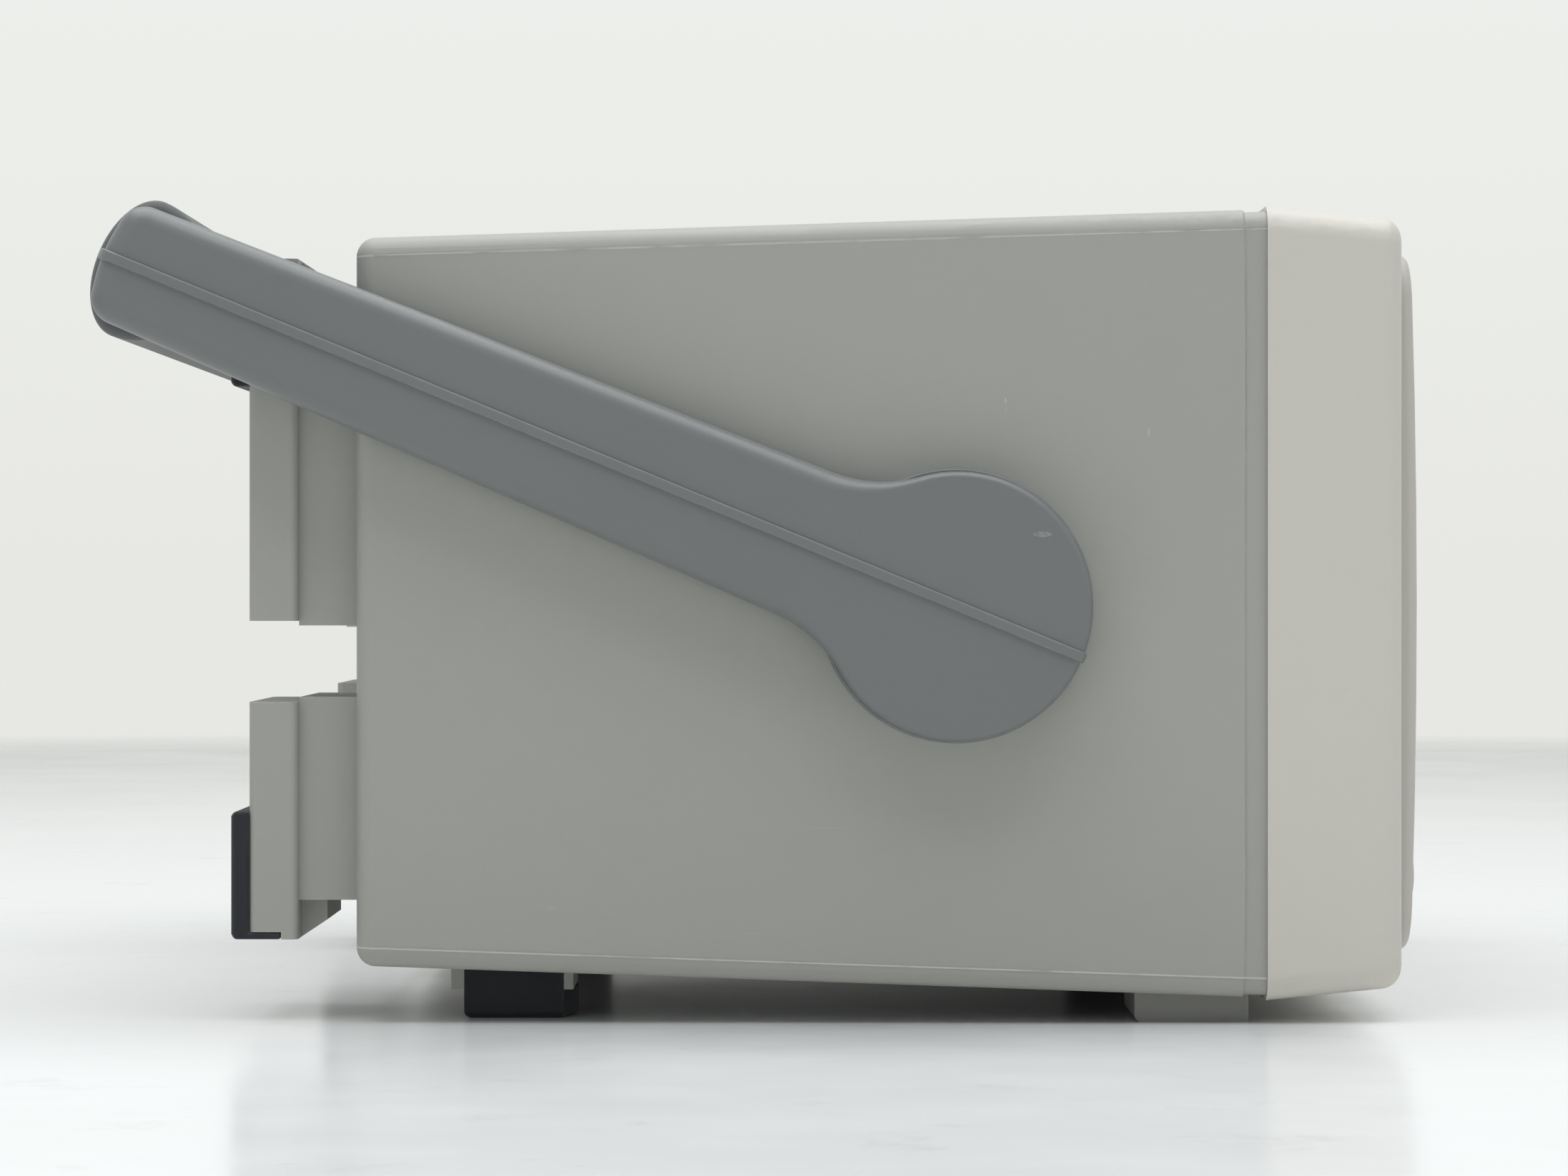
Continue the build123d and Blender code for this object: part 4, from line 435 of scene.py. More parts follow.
def build_moulded_grain():
    """Spark-eroded grain of a moulding, with faint mottling of colour and gloss."""
    group, given, result = new_group(
        "Moulded grain",
        (GREY_IN, ROUGH_IN, ("Grain Scale", "Float", 2600.0),
         ("Grain Depth", "Float", 0.6), ("Mottle", "Float", 0.1)),
        (*FINISH_OUT, ("Height", "Float")))
    where = object_place(group)
    fine = clouds(group, where, given["Grain Scale"], 3.0, 0.6)
    middling = clouds(group, where, 85.0, 4.0, 0.6)
    broad = clouds(group, where, 9.0, 3.0, 0.5)
    shift = plus(group, minus(group, broad, 0.5),
                 times(group, minus(group, middling, 0.5), 0.5))
    shift = plus(group, shift, times(group, minus(group, fine, 0.5), 0.7))
    value = plus(group, 1.0, times(group, shift, given["Mottle"]))
    uneven = plus(group, times(group, middling, 0.16), times(group, broad, 0.10))
    deliver(group, result, Colour=toned(group, given["Colour"], value),
            Roughness=plus(group, given["Roughness"], minus(group, uneven, 0.13), clamp=True),
            Height=times(group, fine, given["Grain Depth"]))


def build_rubbed_edges():
    """Lighter, smoother edges where hands and benches rub a moulding."""
    group, given, result = new_group(
        "Rubbed edges",
        (GREY_IN, ("Rubbed Colour", "Color", (0.7, 0.7, 0.7, 1.0)),
         ("Radius", "Float", 0.0012), ("Amount", "Float", 0.3), ROUGH_IN),
        (*FINISH_OUT, ("Mask", "Float")))
    geometry = group.nodes.new("ShaderNodeNewGeometry")
    rounded = place(group, "ShaderNodeBevel", {"Radius": given["Radius"]}, samples=4)
    match = place(group, "ShaderNodeVectorMath",
                  {0: rounded.outputs[0], 1: geometry.outputs["Normal"]},
                  operation="DOT_PRODUCT").outputs["Value"]
    edge = spread(group, match, 0.995, 0.80)
    patches = spread(group, clouds(group, object_place(group), 120.0, 5.0, 0.65), 0.42, 0.66)
    mask = times(group, times(group, edge, patches), given["Amount"], clamp=True)
    deliver(group, result, Mask=mask,
            Colour=blend_colour(group, mask, given["Colour"], given["Rubbed Colour"]),
            Roughness=minus(group, given["Roughness"], times(group, mask, 0.25), clamp=True))


def build_settled_dust():
    """A thin pale dust on faces that look up."""
    group, given, result = new_group(
        "Settled dust",
        (GREY_IN, ("Dust Colour", "Color", (0.62, 0.61, 0.58, 1.0)),
         ("Amount", "Float", 0.2), ROUGH_IN),
        (*FINISH_OUT, ("Mask", "Float")))
    geometry = group.nodes.new("ShaderNodeNewGeometry")
    up = place(group, "ShaderNodeSeparateXYZ", {0: geometry.outputs["Normal"]}).outputs["Z"]
    where = object_place(group)
    flecks = spread(group, clouds(group, where, 900.0, 2.0, 0.7), 0.38, 0.70)
    drifts = spread(group, clouds(group, where, 16.0, 4.0, 0.6), 0.30, 0.75)
    mask = times(group, spread(group, up, 0.35, 1.0), times(group, flecks, drifts))
    mask = times(group, mask, given["Amount"], clamp=True)
    deliver(group, result, Mask=mask,
            Colour=blend_colour(group, mask, given["Colour"], given["Dust Colour"]),
            Roughness=plus(group, given["Roughness"], times(group, mask, 0.4), clamp=True))


def build_hairline_scratches():
    """Short fine scratches in two directions."""
    group, given, result = new_group(
        "Hairline scratches",
        (("Amount", "Float", 0.5), ("Scale", "Float", 60.0)),
        (("Mask", "Float"), ("Height", "Float")))
    where = object_place(group)
    sized = place(group, "ShaderNodeVectorMath", {0: where, "Scale": given["Scale"]},
                  operation="SCALE").outputs[0]
    one = clouds(group, stretched(group, sized, (1.0, 0.35, 14.0)), 2.0, 2.0, 0.5)
    two = clouds(group, stretched(group, sized, (1.0, 11.0, 0.6)), 2.3, 2.0, 0.5)
    patches = spread(group, clouds(group, where, 14.0, 3.0, 0.5), 0.52, 0.66)
    lines = maths(group, "MAXIMUM", spread(group, one, 0.72, 0.77),
                  spread(group, two, 0.73, 0.78))
    mask = times(group, times(group, lines, patches), given["Amount"], clamp=True)
    deliver(group, result, Mask=mask, Height=times(group, mask, -1.0))


def build_brushed_metal():
    """Fine parallel lines of rolled or brushed sheet."""
    group, given, result = new_group(
        "Brushed lines",
        (("Colour", "Color", (0.6, 0.6, 0.6, 1.0)), ("Roughness", "Float", 0.35),
         ("Fineness", "Float", 900.0)),
        (*FINISH_OUT, ("Height", "Float")))
    where = object_place(group)
    lines = clouds(group, stretched(group, where, (0.03, 1.0, 1.0)), given["Fineness"],
                   3.0, 0.6)
    patches = clouds(group, where, 30.0, 4.0, 0.6)
    value = plus(group, 0.90, times(group, patches, 0.20))
    uneven = plus(group, times(group, lines, 0.16), times(group, patches, 0.14))
    deliver(group, result, Colour=toned(group, given["Colour"], value), Height=lines,
            Roughness=plus(group, given["Roughness"], minus(group, uneven, 0.14), clamp=True))


def build_effects():
    """Every shared effect, once."""
    build_moulded_grain()
    build_rubbed_edges()
    build_settled_dust()
    build_hairline_scratches()
    build_brushed_metal()


# ---- materials ----
def new_material(name):
    """A material with its tree and shader."""
    material = bpy.data.materials.new(name)
    material.use_nodes = True
    tree = material.node_tree
    return material, tree, tree.nodes["Principled BSDF"]


def bump(tree, shader, height, distance):
    """Feeds a height to the shader's normal."""
    made = place(tree, "ShaderNodeBump",
                 {"Height": height, "Distance": distance, "Strength": 1.0})
    tree.links.new(made.outputs[0], shader.inputs["Normal"])


def moulding(name, colour, roughness, grain_scale=2600.0, grain_depth=0.6, mottle=0.06,
             rubbed=(0.70, 0.70, 0.68), wear=1.0, radius=1.1 * MM, distance=0.05 * MM,
             sheen=0.0, specular=0.5, accents=()):
    """A moulded plastic or rubber: grain, rubbed edges, dust, scratches and accents."""
    colours = settings("colours")
    material, tree, shader = new_material(name)
    grain = use_group(tree, "Moulded grain",
                      {"Colour": (*colour, 1.0), "Roughness": roughness,
                       "Grain Scale": grain_scale, "Grain Depth": grain_depth,
                       "Mottle": mottle})
    edges = use_group(tree, "Rubbed edges",
                      {"Colour": grain["Colour"], "Rubbed Colour": (*rubbed, 1.0),
                       "Radius": radius, "Amount": colours.wear * wear,
                       "Roughness": grain["Roughness"]})
    dust = use_group(tree, "Settled dust",
                     {"Colour": edges["Colour"], "Amount": colours.dust,
                      "Roughness": edges["Roughness"]})
    scratches = use_group(tree, "Hairline scratches", {"Amount": 0.5})
    scored = blend_colour(tree, times(tree, scratches["Mask"], 0.35), dust["Colour"],
                          (*rubbed, 1.0))
    for make_mask, strength, shade in accents:
        scored = blend_colour(tree, times(tree, make_mask(tree), strength), scored,
                              (*shade, 1.0))
    tree.links.new(scored, shader.inputs["Base Color"])
    tree.links.new(dust["Roughness"], shader.inputs["Roughness"])
    height = plus(tree, grain["Height"], times(tree, scratches["Height"], 0.6))
    bump(tree, shader, height, distance)
    shader.inputs["Sheen Weight"].default_value = sheen
    shader.inputs["Specular IOR Level"].default_value = specular
    return material


def metal(name, colour, roughness, fineness):
    """Bare or plated sheet and turned metal."""
    material, tree, shader = new_material(name)
    lines = use_group(tree, "Brushed lines", {"Colour": (*colour, 1.0),
                                              "Roughness": roughness, "Fineness": fineness})
    edges = use_group(tree, "Rubbed edges",
                      {"Colour": lines["Colour"], "Rubbed Colour": (0.85, 0.85, 0.86, 1.0),
                       "Radius": 0.4 * MM, "Amount": 0.4, "Roughness": lines["Roughness"]})
    tree.links.new(edges["Colour"], shader.inputs["Base Color"])
    tree.links.new(edges["Roughness"], shader.inputs["Roughness"])
    shader.inputs["Metallic"].default_value = 1.0
    bump(tree, shader, lines["Height"], 0.01 * MM)
    return material


def glass_material():
    """Clear plate in front of the display."""
    material, tree, shader = new_material("Clear window")
    smears = clouds(tree, object_place(tree), 7.0, 1.0, 0.3)
    tree.links.new(spread(tree, smears, 0.3, 0.8, 0.018, 0.022), shader.inputs["Roughness"])
    shader.inputs["Base Color"].default_value = (0.82, 0.85, 0.86, 1.0)
    shader.inputs["Specular IOR Level"].default_value = 0.3
    shader.inputs["Transmission Weight"].default_value = 1.0
    shader.inputs["IOR"].default_value = 1.40
    return material


def display_material():
    """Dark, switched-off display with its fine grid of dots."""
    material, tree, shader = new_material("Dark display")
    where = object_place(tree)
    axes = place(tree, "ShaderNodeSeparateXYZ", {0: where}).outputs
    across = maths(tree, "FRACT", times(tree, axes["X"], 1.0 / DOT_PITCH))
    up = maths(tree, "FRACT", times(tree, axes["Z"], 1.0 / DOT_PITCH))
    dots = times(tree, spread(tree, across, 0.10, 0.25), spread(tree, up, 0.10, 0.25))
    tinted = blend_colour(tree, clouds(tree, where, 8.0), (0.010, 0.014, 0.018, 1.0),
                          (0.018, 0.024, 0.028, 1.0))
    colour = blend_colour(tree, times(tree, dots, 0.6), (0.004, 0.005, 0.007, 1.0), tinted)
    tree.links.new(colour, shader.inputs["Base Color"])
    tree.links.new(spread(tree, clouds(tree, where, 6.0), 0.3, 0.7, 0.34, 0.38),
                   shader.inputs["Roughness"])
    shader.inputs["Specular IOR Level"].default_value = 0.25
    return material


def board_material():
    """Green circuit board with lighter tracks and tinned pads."""
    material, tree, shader = new_material("Circuit board")
    where = object_place(tree)
    cells = place(tree, "ShaderNodeTexBrick",
                  {"Vector": where, "Scale": 160.0, "Mortar Size": 0.03,
                   "Color1": (0.012, 0.085, 0.040, 1.0), "Color2": (0.018, 0.115, 0.055, 1.0),
                   "Mortar": (0.035, 0.19, 0.090, 1.0)})
    pads = place(tree, "ShaderNodeTexVoronoi", {"Vector": where, "Scale": 260.0})
    spots = spread(tree, pads.outputs["Distance"], 0.16, 0.12)
    colour = blend_colour(tree, spots, cells.outputs["Color"], (0.62, 0.60, 0.55, 1.0))
    tree.links.new(colour, shader.inputs["Base Color"])
    tree.links.new(spread(tree, clouds(tree, where, 120.0), 0.3, 0.7, 0.25, 0.45),
                   shader.inputs["Roughness"])
    bump(tree, shader, spots, 0.05 * MM)
    return material


def sloping_line(front, rear, half):
    """Mask of a fine line across the case's sides, between two (depth, height) places."""
    slope = (rear[1] - front[1]) / (rear[0] - front[0])

    def mask(tree):
        axes = place(tree, "ShaderNodeSeparateXYZ", {0: object_place(tree)}).outputs
        level = plus(tree, times(tree, axes["Y"], slope), front[1] - slope * front[0])
        away = maths(tree, "ABSOLUTE", minus(tree, axes["Z"], level))
        aside = spread(tree, maths(tree, "ABSOLUTE", axes["X"]), SIDE_START,
                       SIDE_START + 10 * MM)
        broken = spread(tree, clouds(tree, object_place(tree), 70.0, 3.0), 0.30, 0.50)
        return times(tree, spread(tree, away, half, half * 0.4),
                     times(tree, aside, broken))
    return mask


def blemish(centre, size, fineness=260.0):
    """Mask of one small scuff inside an ellipsoid, broken up by noise."""
    def mask(tree):
        where = object_place(tree)
        near = place(tree, "ShaderNodeMapping", {"Vector": where, "Location": centre,
                                                 "Scale": size}, vector_type="TEXTURE")
        away = place(tree, "ShaderNodeVectorMath", {0: near.outputs[0]}, operation="LENGTH")
        return times(tree, spread(tree, away.outputs["Value"], 1.0, 0.7),
                     spread(tree, clouds(tree, where, fineness, 4.0, 0.7), 0.36, 0.56))
    return mask


def shell_accents():
    """Parting lines along the sides and the small marks of use on the case."""
    low, high = corners("cabinet_shell")
    case = settings("case")
    front, rear = low.y, high.y
    top, bottom = high.z - case.seam_inset, low.z + case.seam_inset
    half = case.seam_width / 2
    pale = (0.70, 0.71, 0.69)
    lines = [(sloping_line((front, top), (rear, top - case.top_fall), half), 0.8, pale),
             (sloping_line((front, bottom), (rear, bottom + case.bottom_rise), half), 0.6,
              pale)]
    # side, mm back from the case's front, mm up from its underside, half size in mm, strength
    marks = ((low.x, 70.9, 152.2, 0.3, 2.1, 0.75), (low.x, 34.2, 145.2, 0.3, 1.2, 0.35),
             (low.x, 187.2, 23.2, 1.4, 0.3, 0.35), (high.x, 57.2, 53.2, 0.4, 3.0, 0.5))
    return lines + [(blemish((side, low.y + back * MM, low.z + up * MM),
                             (2 * MM, deep * MM, tall * MM)), strength, pale)
                    for side, back, up, deep, tall, strength in marks]


def handle_accents():
    """Small scuffs on the left hub and at the grip's end."""
    near = corners("handle_arm_left")[0].x
    pale = (0.40, 0.42, 0.42)
    hub = (near, PIVOT.y - 21.6 * MM, PIVOT.z + 18.2 * MM)
    grip_end = (near + 4 * MM, PIVOT.y + 235 * MM, PIVOT.z + 64 * MM)
    return ((blemish(hub, (3 * MM, 2.8 * MM, 0.8 * MM), 1500.0), 0.6, pale),
            (blemish(grip_end, (6 * MM, MM, 1.6 * MM)), 0.6, (0.05, 0.05, 0.05)))


def build_materials():
    """Every finish, keyed by the record's material slot."""
    colours = settings("colours")
    return {
        "case": moulding("Cabinet moulding", colours.case, 0.47),
        "shell": moulding("Cabinet shell moulding", colours.case, 0.47, accents=shell_accents()),
        "front_foot": moulding("Front foot moulding", colours.front_foot, 0.52),
        "bezel": moulding("Bezel moulding", colours.bezel, 0.42, mottle=0.04,
                          rubbed=(0.82, 0.81, 0.78)),
        "panel": moulding("Panel moulding", colours.panel, 0.50, grain_scale=3200.0,
                          mottle=0.04),
        "handle": moulding("Handle moulding", colours.handle, 0.36, grain_scale=2900.0,
                           grain_depth=0.5, rubbed=(0.42, 0.43, 0.43),
                           accents=handle_accents()),
        "grip": moulding("Soft grip", colours.grip, 0.72, grain_scale=1500.0,
                         grain_depth=1.0, mottle=0.14, rubbed=(0.22, 0.23, 0.24),
                         wear=0.6, distance=0.09 * MM, sheen=0.25, specular=0.35),
        "foot_rubber": moulding("Foot rubber", colours.rubber, 0.68, grain_scale=1200.0,
                                grain_depth=0.9, mottle=0.25, rubbed=(0.10, 0.105, 0.115),
                                wear=1.6, radius=1.4 * MM, distance=0.10 * MM, sheen=0.15,
                                specular=0.35),
        "window": glass_material(),
        "display": display_material(),
        "knob": moulding("Knob moulding", colours.knob, 0.46, grain_scale=3400.0,
                         rubbed=(0.26, 0.27, 0.28)),
        "key": moulding("Key moulding", colours.key, 0.52, grain_scale=3600.0,
                        mottle=0.03),
        "accent_key": moulding("Run key moulding", colours.accent, 0.50,
                               grain_scale=3600.0, rubbed=(0.30, 0.40, 0.52)),
        "black_plastic": moulding("Black moulding", (0.022, 0.022, 0.025), 0.50,
                                  grain_scale=2400.0, mottle=0.2,
                                  rubbed=(0.11, 0.11, 0.12)),
        "sheet_metal": metal("Rolled aluminium", (0.70, 0.71, 0.72), 0.42, 700.0),
        "steel": metal("Zinc-plated steel", (0.56, 0.57, 0.58), 0.34, 1200.0),
        "nickel": metal("Nickel plate", (0.74, 0.72, 0.67), 0.20, 1500.0),
        "board": board_material(),
    }


MATERIALS = {}


def finish_of(node):
    """The finish that the record gives a node."""
    return MATERIALS[SLOT_OF[node]]


def finish_nodes(*names):
    """CAD nodes kept as they are, each with the record's finish."""
    for name in names:
        finish_node(name, finish_of(name))


# ---- handle ----
def arc(centre, radius, start, end, steps):
    """Points along an arc in the handle's side view, from one angle to another."""
    return [(centre[0] + radius * math.cos(turn), centre[1] + radius * math.sin(turn))
            for turn in (start + (end - start) * step / steps for step in range(steps + 1))]


def arm_side_view(values, reach):
    """Side view of an arm: points along it and across it, each with a rounding share."""
    hub, throat, corner = values.hub_radius, values.throat_radius, values.end_corner
    fall = (values.half_at_hub - values.half_at_end) / reach
    rise = values.half_at_hub + throat * math.hypot(1.0, fall)
    squared = 1.0 + fall * fall
    along = (rise * fall + math.sqrt(squared * (hub + throat) ** 2 - rise * rise)) / squared
    centre = (along, rise - fall * along)
    touch = math.atan2(centre[1], centre[0])
    line_way = 1.5 * math.pi - math.atan(fall)
    upper = [(p, q, 0.0) for p, q in arc((0.0, 0.0), hub, math.pi, touch, 30)]
    curve = arc(centre, throat, touch + math.pi, line_way, 12)
    upper += [(p, q, step / 12.0) for step, (p, q) in enumerate(curve)][1:]
    start = upper[-1]
    corner_p = reach - values.end_bow - corner
    corner_q = values.half_at_end + fall * (reach - corner_p) - corner
    for part in (step / 6.0 for step in range(1, 6)):
        upper.append((start[0] + part * (corner_p - start[0]),
                      start[1] + part * (corner_q + corner - start[1]), 1.0))
    upper += [(p, q, 1.0) for p, q in arc((corner_p, corner_q), corner,
                                         math.radians(89.0), math.radians(8.0), 9)]
    for part in (1.0 - step / 4.0 for step in range(1, 5)):
        upper.append((reach - values.end_bow * part * part, corner_q * part, 1.0))
    return upper + [(p, -q, share_of) for p, q, share_of in reversed(upper[1:-1])]


def rib_shape(reach, hub, inner, outer, values):
    """The raised rib that runs from the hub's far edge along the arm and round its end."""
    shape = bmesh.new()
    lift, half = values.rib_height, values.rib_width / 2
    line = []
    for centre, radius, start, end in (
            (-hub + values.hub_rounding, values.hub_rounding + lift, 180.0, 90.0),
            (reach - values.arm_rounding, values.arm_rounding + lift, 90.0, 0.0)):
        for step in range(9):
            turn = math.radians(start + (end - start) * step / 8.0)
            depth = outer - (radius - lift)
            line.append((centre + radius * math.cos(turn), depth + radius * math.sin(turn)))
    line = [(line[0][0], inner)] + line + [(line[-1][0], inner)]
    buried = [(line[-1][0] - 2 * lift, inner), (line[-1][0] - 2 * lift, outer - 3.0 * MM),
              (line[0][0] + 2 * lift, outer - 3.0 * MM), (line[0][0] + 2 * lift, inner)]
    profile = [Vector((x, p, -half)) for p, x in line + buried]
    face = outline_face(shape, profile)
    pull(shape, face, Vector((0.0, 0.0, 2 * half)))
    bmesh.ops.recalc_face_normals(shape, faces=shape.faces)
    soften(shape, 0.50 * MM, angle=60.0, segments=3)
    return shape


def arm_cutter(inner):
    """Bore for the pivot shaft and pocket for the crossbar's tenon."""
    shape = bmesh.new()
    turn = Matrix.Rotation(math.radians(90.0), 4, "Y")
    bmesh.ops.create_cone(shape, cap_ends=True, segments=72, radius1=PIVOT_BORE,
                          radius2=PIVOT_BORE, depth=BORE_DEPTH + 2 * MM,
                          matrix=Matrix.Translation((inner + BORE_DEPTH / 2 - MM, 0, 0))
                          @ turn)
    block_into(shape, (inner - MM, GRIP_REACH - POCKET_TO_HUB, -POCKET_HALF),
               (inner + POCKET_DEPTH, GRIP_REACH + POCKET_TO_END, POCKET_HALF))
    return shape


def build_arm(side, sign):
    """One handle arm with its hub and rib."""
    values = settings("handle")
    node = f"handle_arm_{side}"
    low, high = corners(node)
    inner = min(abs(low.x), abs(high.x))
    outer = max(abs(low.x), abs(high.x)) - values.rib_height
    reach = GRIP_REACH + values.end_past_grip
    view = arm_side_view(values, reach)
    shape = bmesh.new()
    face = outline_face(shape, [Vector((inner, p, q)) for p, q, share_of in view])
    moved = pull(shape, face, Vector((outer - inner, 0.0, 0.0)))
    bmesh.ops.recalc_face_normals(shape, faces=shape.faces)
    weights = shape.edges.layers.float.new("bevel_weight_edge")
    shares = {(round(p, 6), round(q, 6)): share_of for p, q, share_of in view}
    least = values.hub_rounding / values.arm_rounding
    ring = set(moved)
    for edge in shape.edges:
        if edge.verts[0] in ring and edge.verts[1] in ring:
            found = [shares[(round(vert.co.y, 6), round(vert.co.z, 6))]
                     for vert in edge.verts]
            edge[weights] = least + (1.0 - least) * sum(found) / 2.0
    piece = meshed(node + "_body", shape)
    rounding = piece.modifiers.new("Rounding", "BEVEL")
    rounding.width = values.arm_rounding
    rounding.segments = 7
    rounding.limit_method = "WEIGHT"
    rounding.use_clamp_overlap = False
    cutter = meshed("arm_cutter", arm_cutter(inner))
    cut = piece.modifiers.new("Bore and pocket", "BOOLEAN")
    cut.object = cutter
    cut.solver = "EXACT"
    applied(piece)
    body = bmesh.new()
    body.from_mesh(piece.data)
    bpy.data.objects.remove(piece)
    bpy.data.objects.remove(cutter)
    rib = rib_shape(reach, values.hub_radius, inner + 4.0 * MM, outer, values)
    for part, name, replaced in ((body, node + "_body", [node]), (rib, node + "_rib", [])):
        bmesh.ops.transform(part, matrix=handle_matrix(), verts=part.verts)
        if sign < 0:
            bmesh.ops.scale(part, vec=(-1.0, 1.0, 1.0), verts=part.verts)
            bmesh.ops.reverse_faces(part, faces=part.faces)
        made = new_piece(name, part, "handle", "handle", *replaced)
        dress(made, MATERIALS["handle"], 38.0)


class OSCILLOSCOPE_OT_handle_arms(bpy.types.Operator):
    """Build the two handle arms with their hubs and raised ribs"""
    bl_idname = "oscilloscope.handle_arms"
    bl_label = "Handle arms"

    def execute(self, context):
        build_arm("left", -1)
        build_arm("right", 1)
        finish_node("handle_crossbar", MATERIALS["handle"])
        for side in ("left", "right"):
            finish_node(f"handle_pivot_{side}", MATERIALS["handle"])
        return {"FINISHED"}


class OSCILLOSCOPE_OT_handle_grip(bpy.types.Operator):
    """Build the soft grip sleeve on the crossbar"""
    bl_idname = "oscilloscope.handle_grip"
    bl_label = "Handle grip"

    def execute(self, context):
        values = settings("handle")
        low, high = corners("handle_grip")
        points = []
        for step in range(72):
            turn = 2 * math.pi * step / 72
            reach = GRIP_OUTER if math.cos(turn) > 0 else GRIP_INNER
            points.append(Vector((low.x, GRIP_REACH + reach * math.cos(turn),
                                  GRIP_HALF * math.sin(turn))))
        shape = bmesh.new()
        face = outline_face(shape, points)
        pull(shape, face, Vector((high.x - low.x, 0.0, 0.0)))
        bmesh.ops.recalc_face_normals(shape, faces=shape.faces)
        soften(shape, values.grip_rounding, angle=60.0, segments=6)
        bmesh.ops.transform(shape, matrix=handle_matrix(), verts=shape.verts)
        piece = new_piece("handle_grip_sleeve", shape, "handle", "grip", "handle_grip")
        dress(piece, MATERIALS["grip"], 40.0)
        return {"FINISHED"}


# ---- case, bezel, panel ----
class OSCILLOSCOPE_OT_case(bpy.types.Operator):
    """Finish the case, the bezel and the front panel"""
    bl_idname = "oscilloscope.case"
    bl_label = "Case and bezel"

    def execute(self, context):
        finish_node("cabinet_shell", MATERIALS["shell"])
        finish_nodes("front_bezel", "front_panel")
        return {"FINISHED"}


# ---- feet ----
class OSCILLOSCOPE_OT_feet(bpy.types.Operator):
    """Build the moulded feet with rounded edges"""
    bl_idname = "oscilloscope.feet"
    bl_label = "Feet"

    def execute(self, context):
        width = settings("feet").foot_rounding
        for side in ("left", "right"):
            softened_piece(f"front_foot_{side}", width / 2, MATERIALS["front_foot"])
            for level in ("upper", "lower"):
                softened_piece(f"rear_foot_{level}_{side}", width, MATERIALS["case"])
        return {"FINISHED"}


class OSCILLOSCOPE_OT_rubber(bpy.types.Operator):
    """Build the rubber bumpers and base pads"""
    bl_idname = "oscilloscope.rubber"
    bl_label = "Rubber bumpers and pads"

    def execute(self, context):
        width = settings("feet").rubber_rounding
        for side in ("left", "right"):
            softened_piece(f"base_pad_{side}", width, MATERIALS["foot_rubber"])
            for level in ("upper", "lower"):
                softened_piece(f"rear_bumper_{level}_{side}", width,
                               MATERIALS["foot_rubber"])
        return {"FINISHED"}


# ---- front controls ----
def knob_shape(node, flutes):
    """Turned knob with grooves round it, a dished front and a pointer line."""
    low, high = corners(node)
    radius = (high.x - low.x) / 2
    x, z = middle(node).x, middle(node).z
    front, back = low.y, low.y + KNOB_DEPTH
    depth = settings("controls").flute_depth
    shape = bmesh.new()
    count = flutes * 6
    rings = ((radius, back), (radius, back - 3.0 * MM), (radius - 1.2 * MM, back - 3.6 * MM),
             (radius - 1.3 * MM, front + 1.6 * MM), (radius - 1.8 * MM, front + 0.5 * MM),
             (radius - 2.6 * MM, front), (radius - 5.0 * MM, front + 0.1 * MM),
             (radius - 5.8 * MM, front + 0.6 * MM))
    loops = []
    for index, (reach, y) in enumerate(rings):
        made = bmesh.ops.create_circle(shape, segments=count, radius=reach)["verts"]
        for vert in made:
            turn = math.atan2(vert.co.y, vert.co.x)
            groove = depth * max(0.0, math.cos(turn * flutes)) if 2 <= index <= 4 else 0.0
            across = reach - groove
            vert.co = Vector((x + across * math.cos(turn), y, z + across * math.sin(turn)))
        loops.append(list({edge for vert in made for edge in vert.link_edges}))
    for first, second in zip(loops, loops[1:]):
        bmesh.ops.bridge_loops(shape, edges=first + second)
    bmesh.ops.holes_fill(shape, edges=loops[0], sides=count)
    bmesh.ops.holes_fill(shape, edges=loops[-1], sides=count)
    bmesh.ops.create_cone(shape, cap_ends=True, segments=40, radius1=KNOB_SHAFT,
                          radius2=KNOB_SHAFT, depth=high.y - back,
                          matrix=Matrix.Translation((x, (high.y + back) / 2, z))
                          @ Matrix.Rotation(math.radians(90.0), 4, "X"))
    bmesh.ops.recalc_face_normals(shape, faces=shape.faces)
    return shape


def pointer_shape(node):
    """Pale line on the front of a knob."""
    low, high = corners(node)
    radius = (high.x - low.x) / 2
    x, z = middle(node).x, middle(node).z
    shape = bmesh.new()
    block_into(shape, (x - 0.6 * MM, low.y - 0.12 * MM, z + radius - 5.2 * MM),
               (x + 0.6 * MM, low.y + 0.5 * MM, z + radius - 2.4 * MM), 0.1 * MM)
    return shape


class OSCILLOSCOPE_OT_knobs(bpy.types.Operator):
    """Build the fluted knobs with their pointer lines"""
    bl_idname = "oscilloscope.knobs"
    bl_label = "Knobs"

    def execute(self, context):
        for node, flutes in (("jog_knob", 36), ("vertical_knob", 24), ("time_knob", 24),
                             ("trigger_knob", 24)):
            piece = new_piece(node + "_fluted", knob_shape(node, flutes), node, "knob", node)
            dress(piece, MATERIALS["knob"], 38.0)
            pointer = new_piece(node + "_pointer", pointer_shape(node), node, "key")
            dress(pointer, MATERIALS["key"])
        return {"FINISHED"}


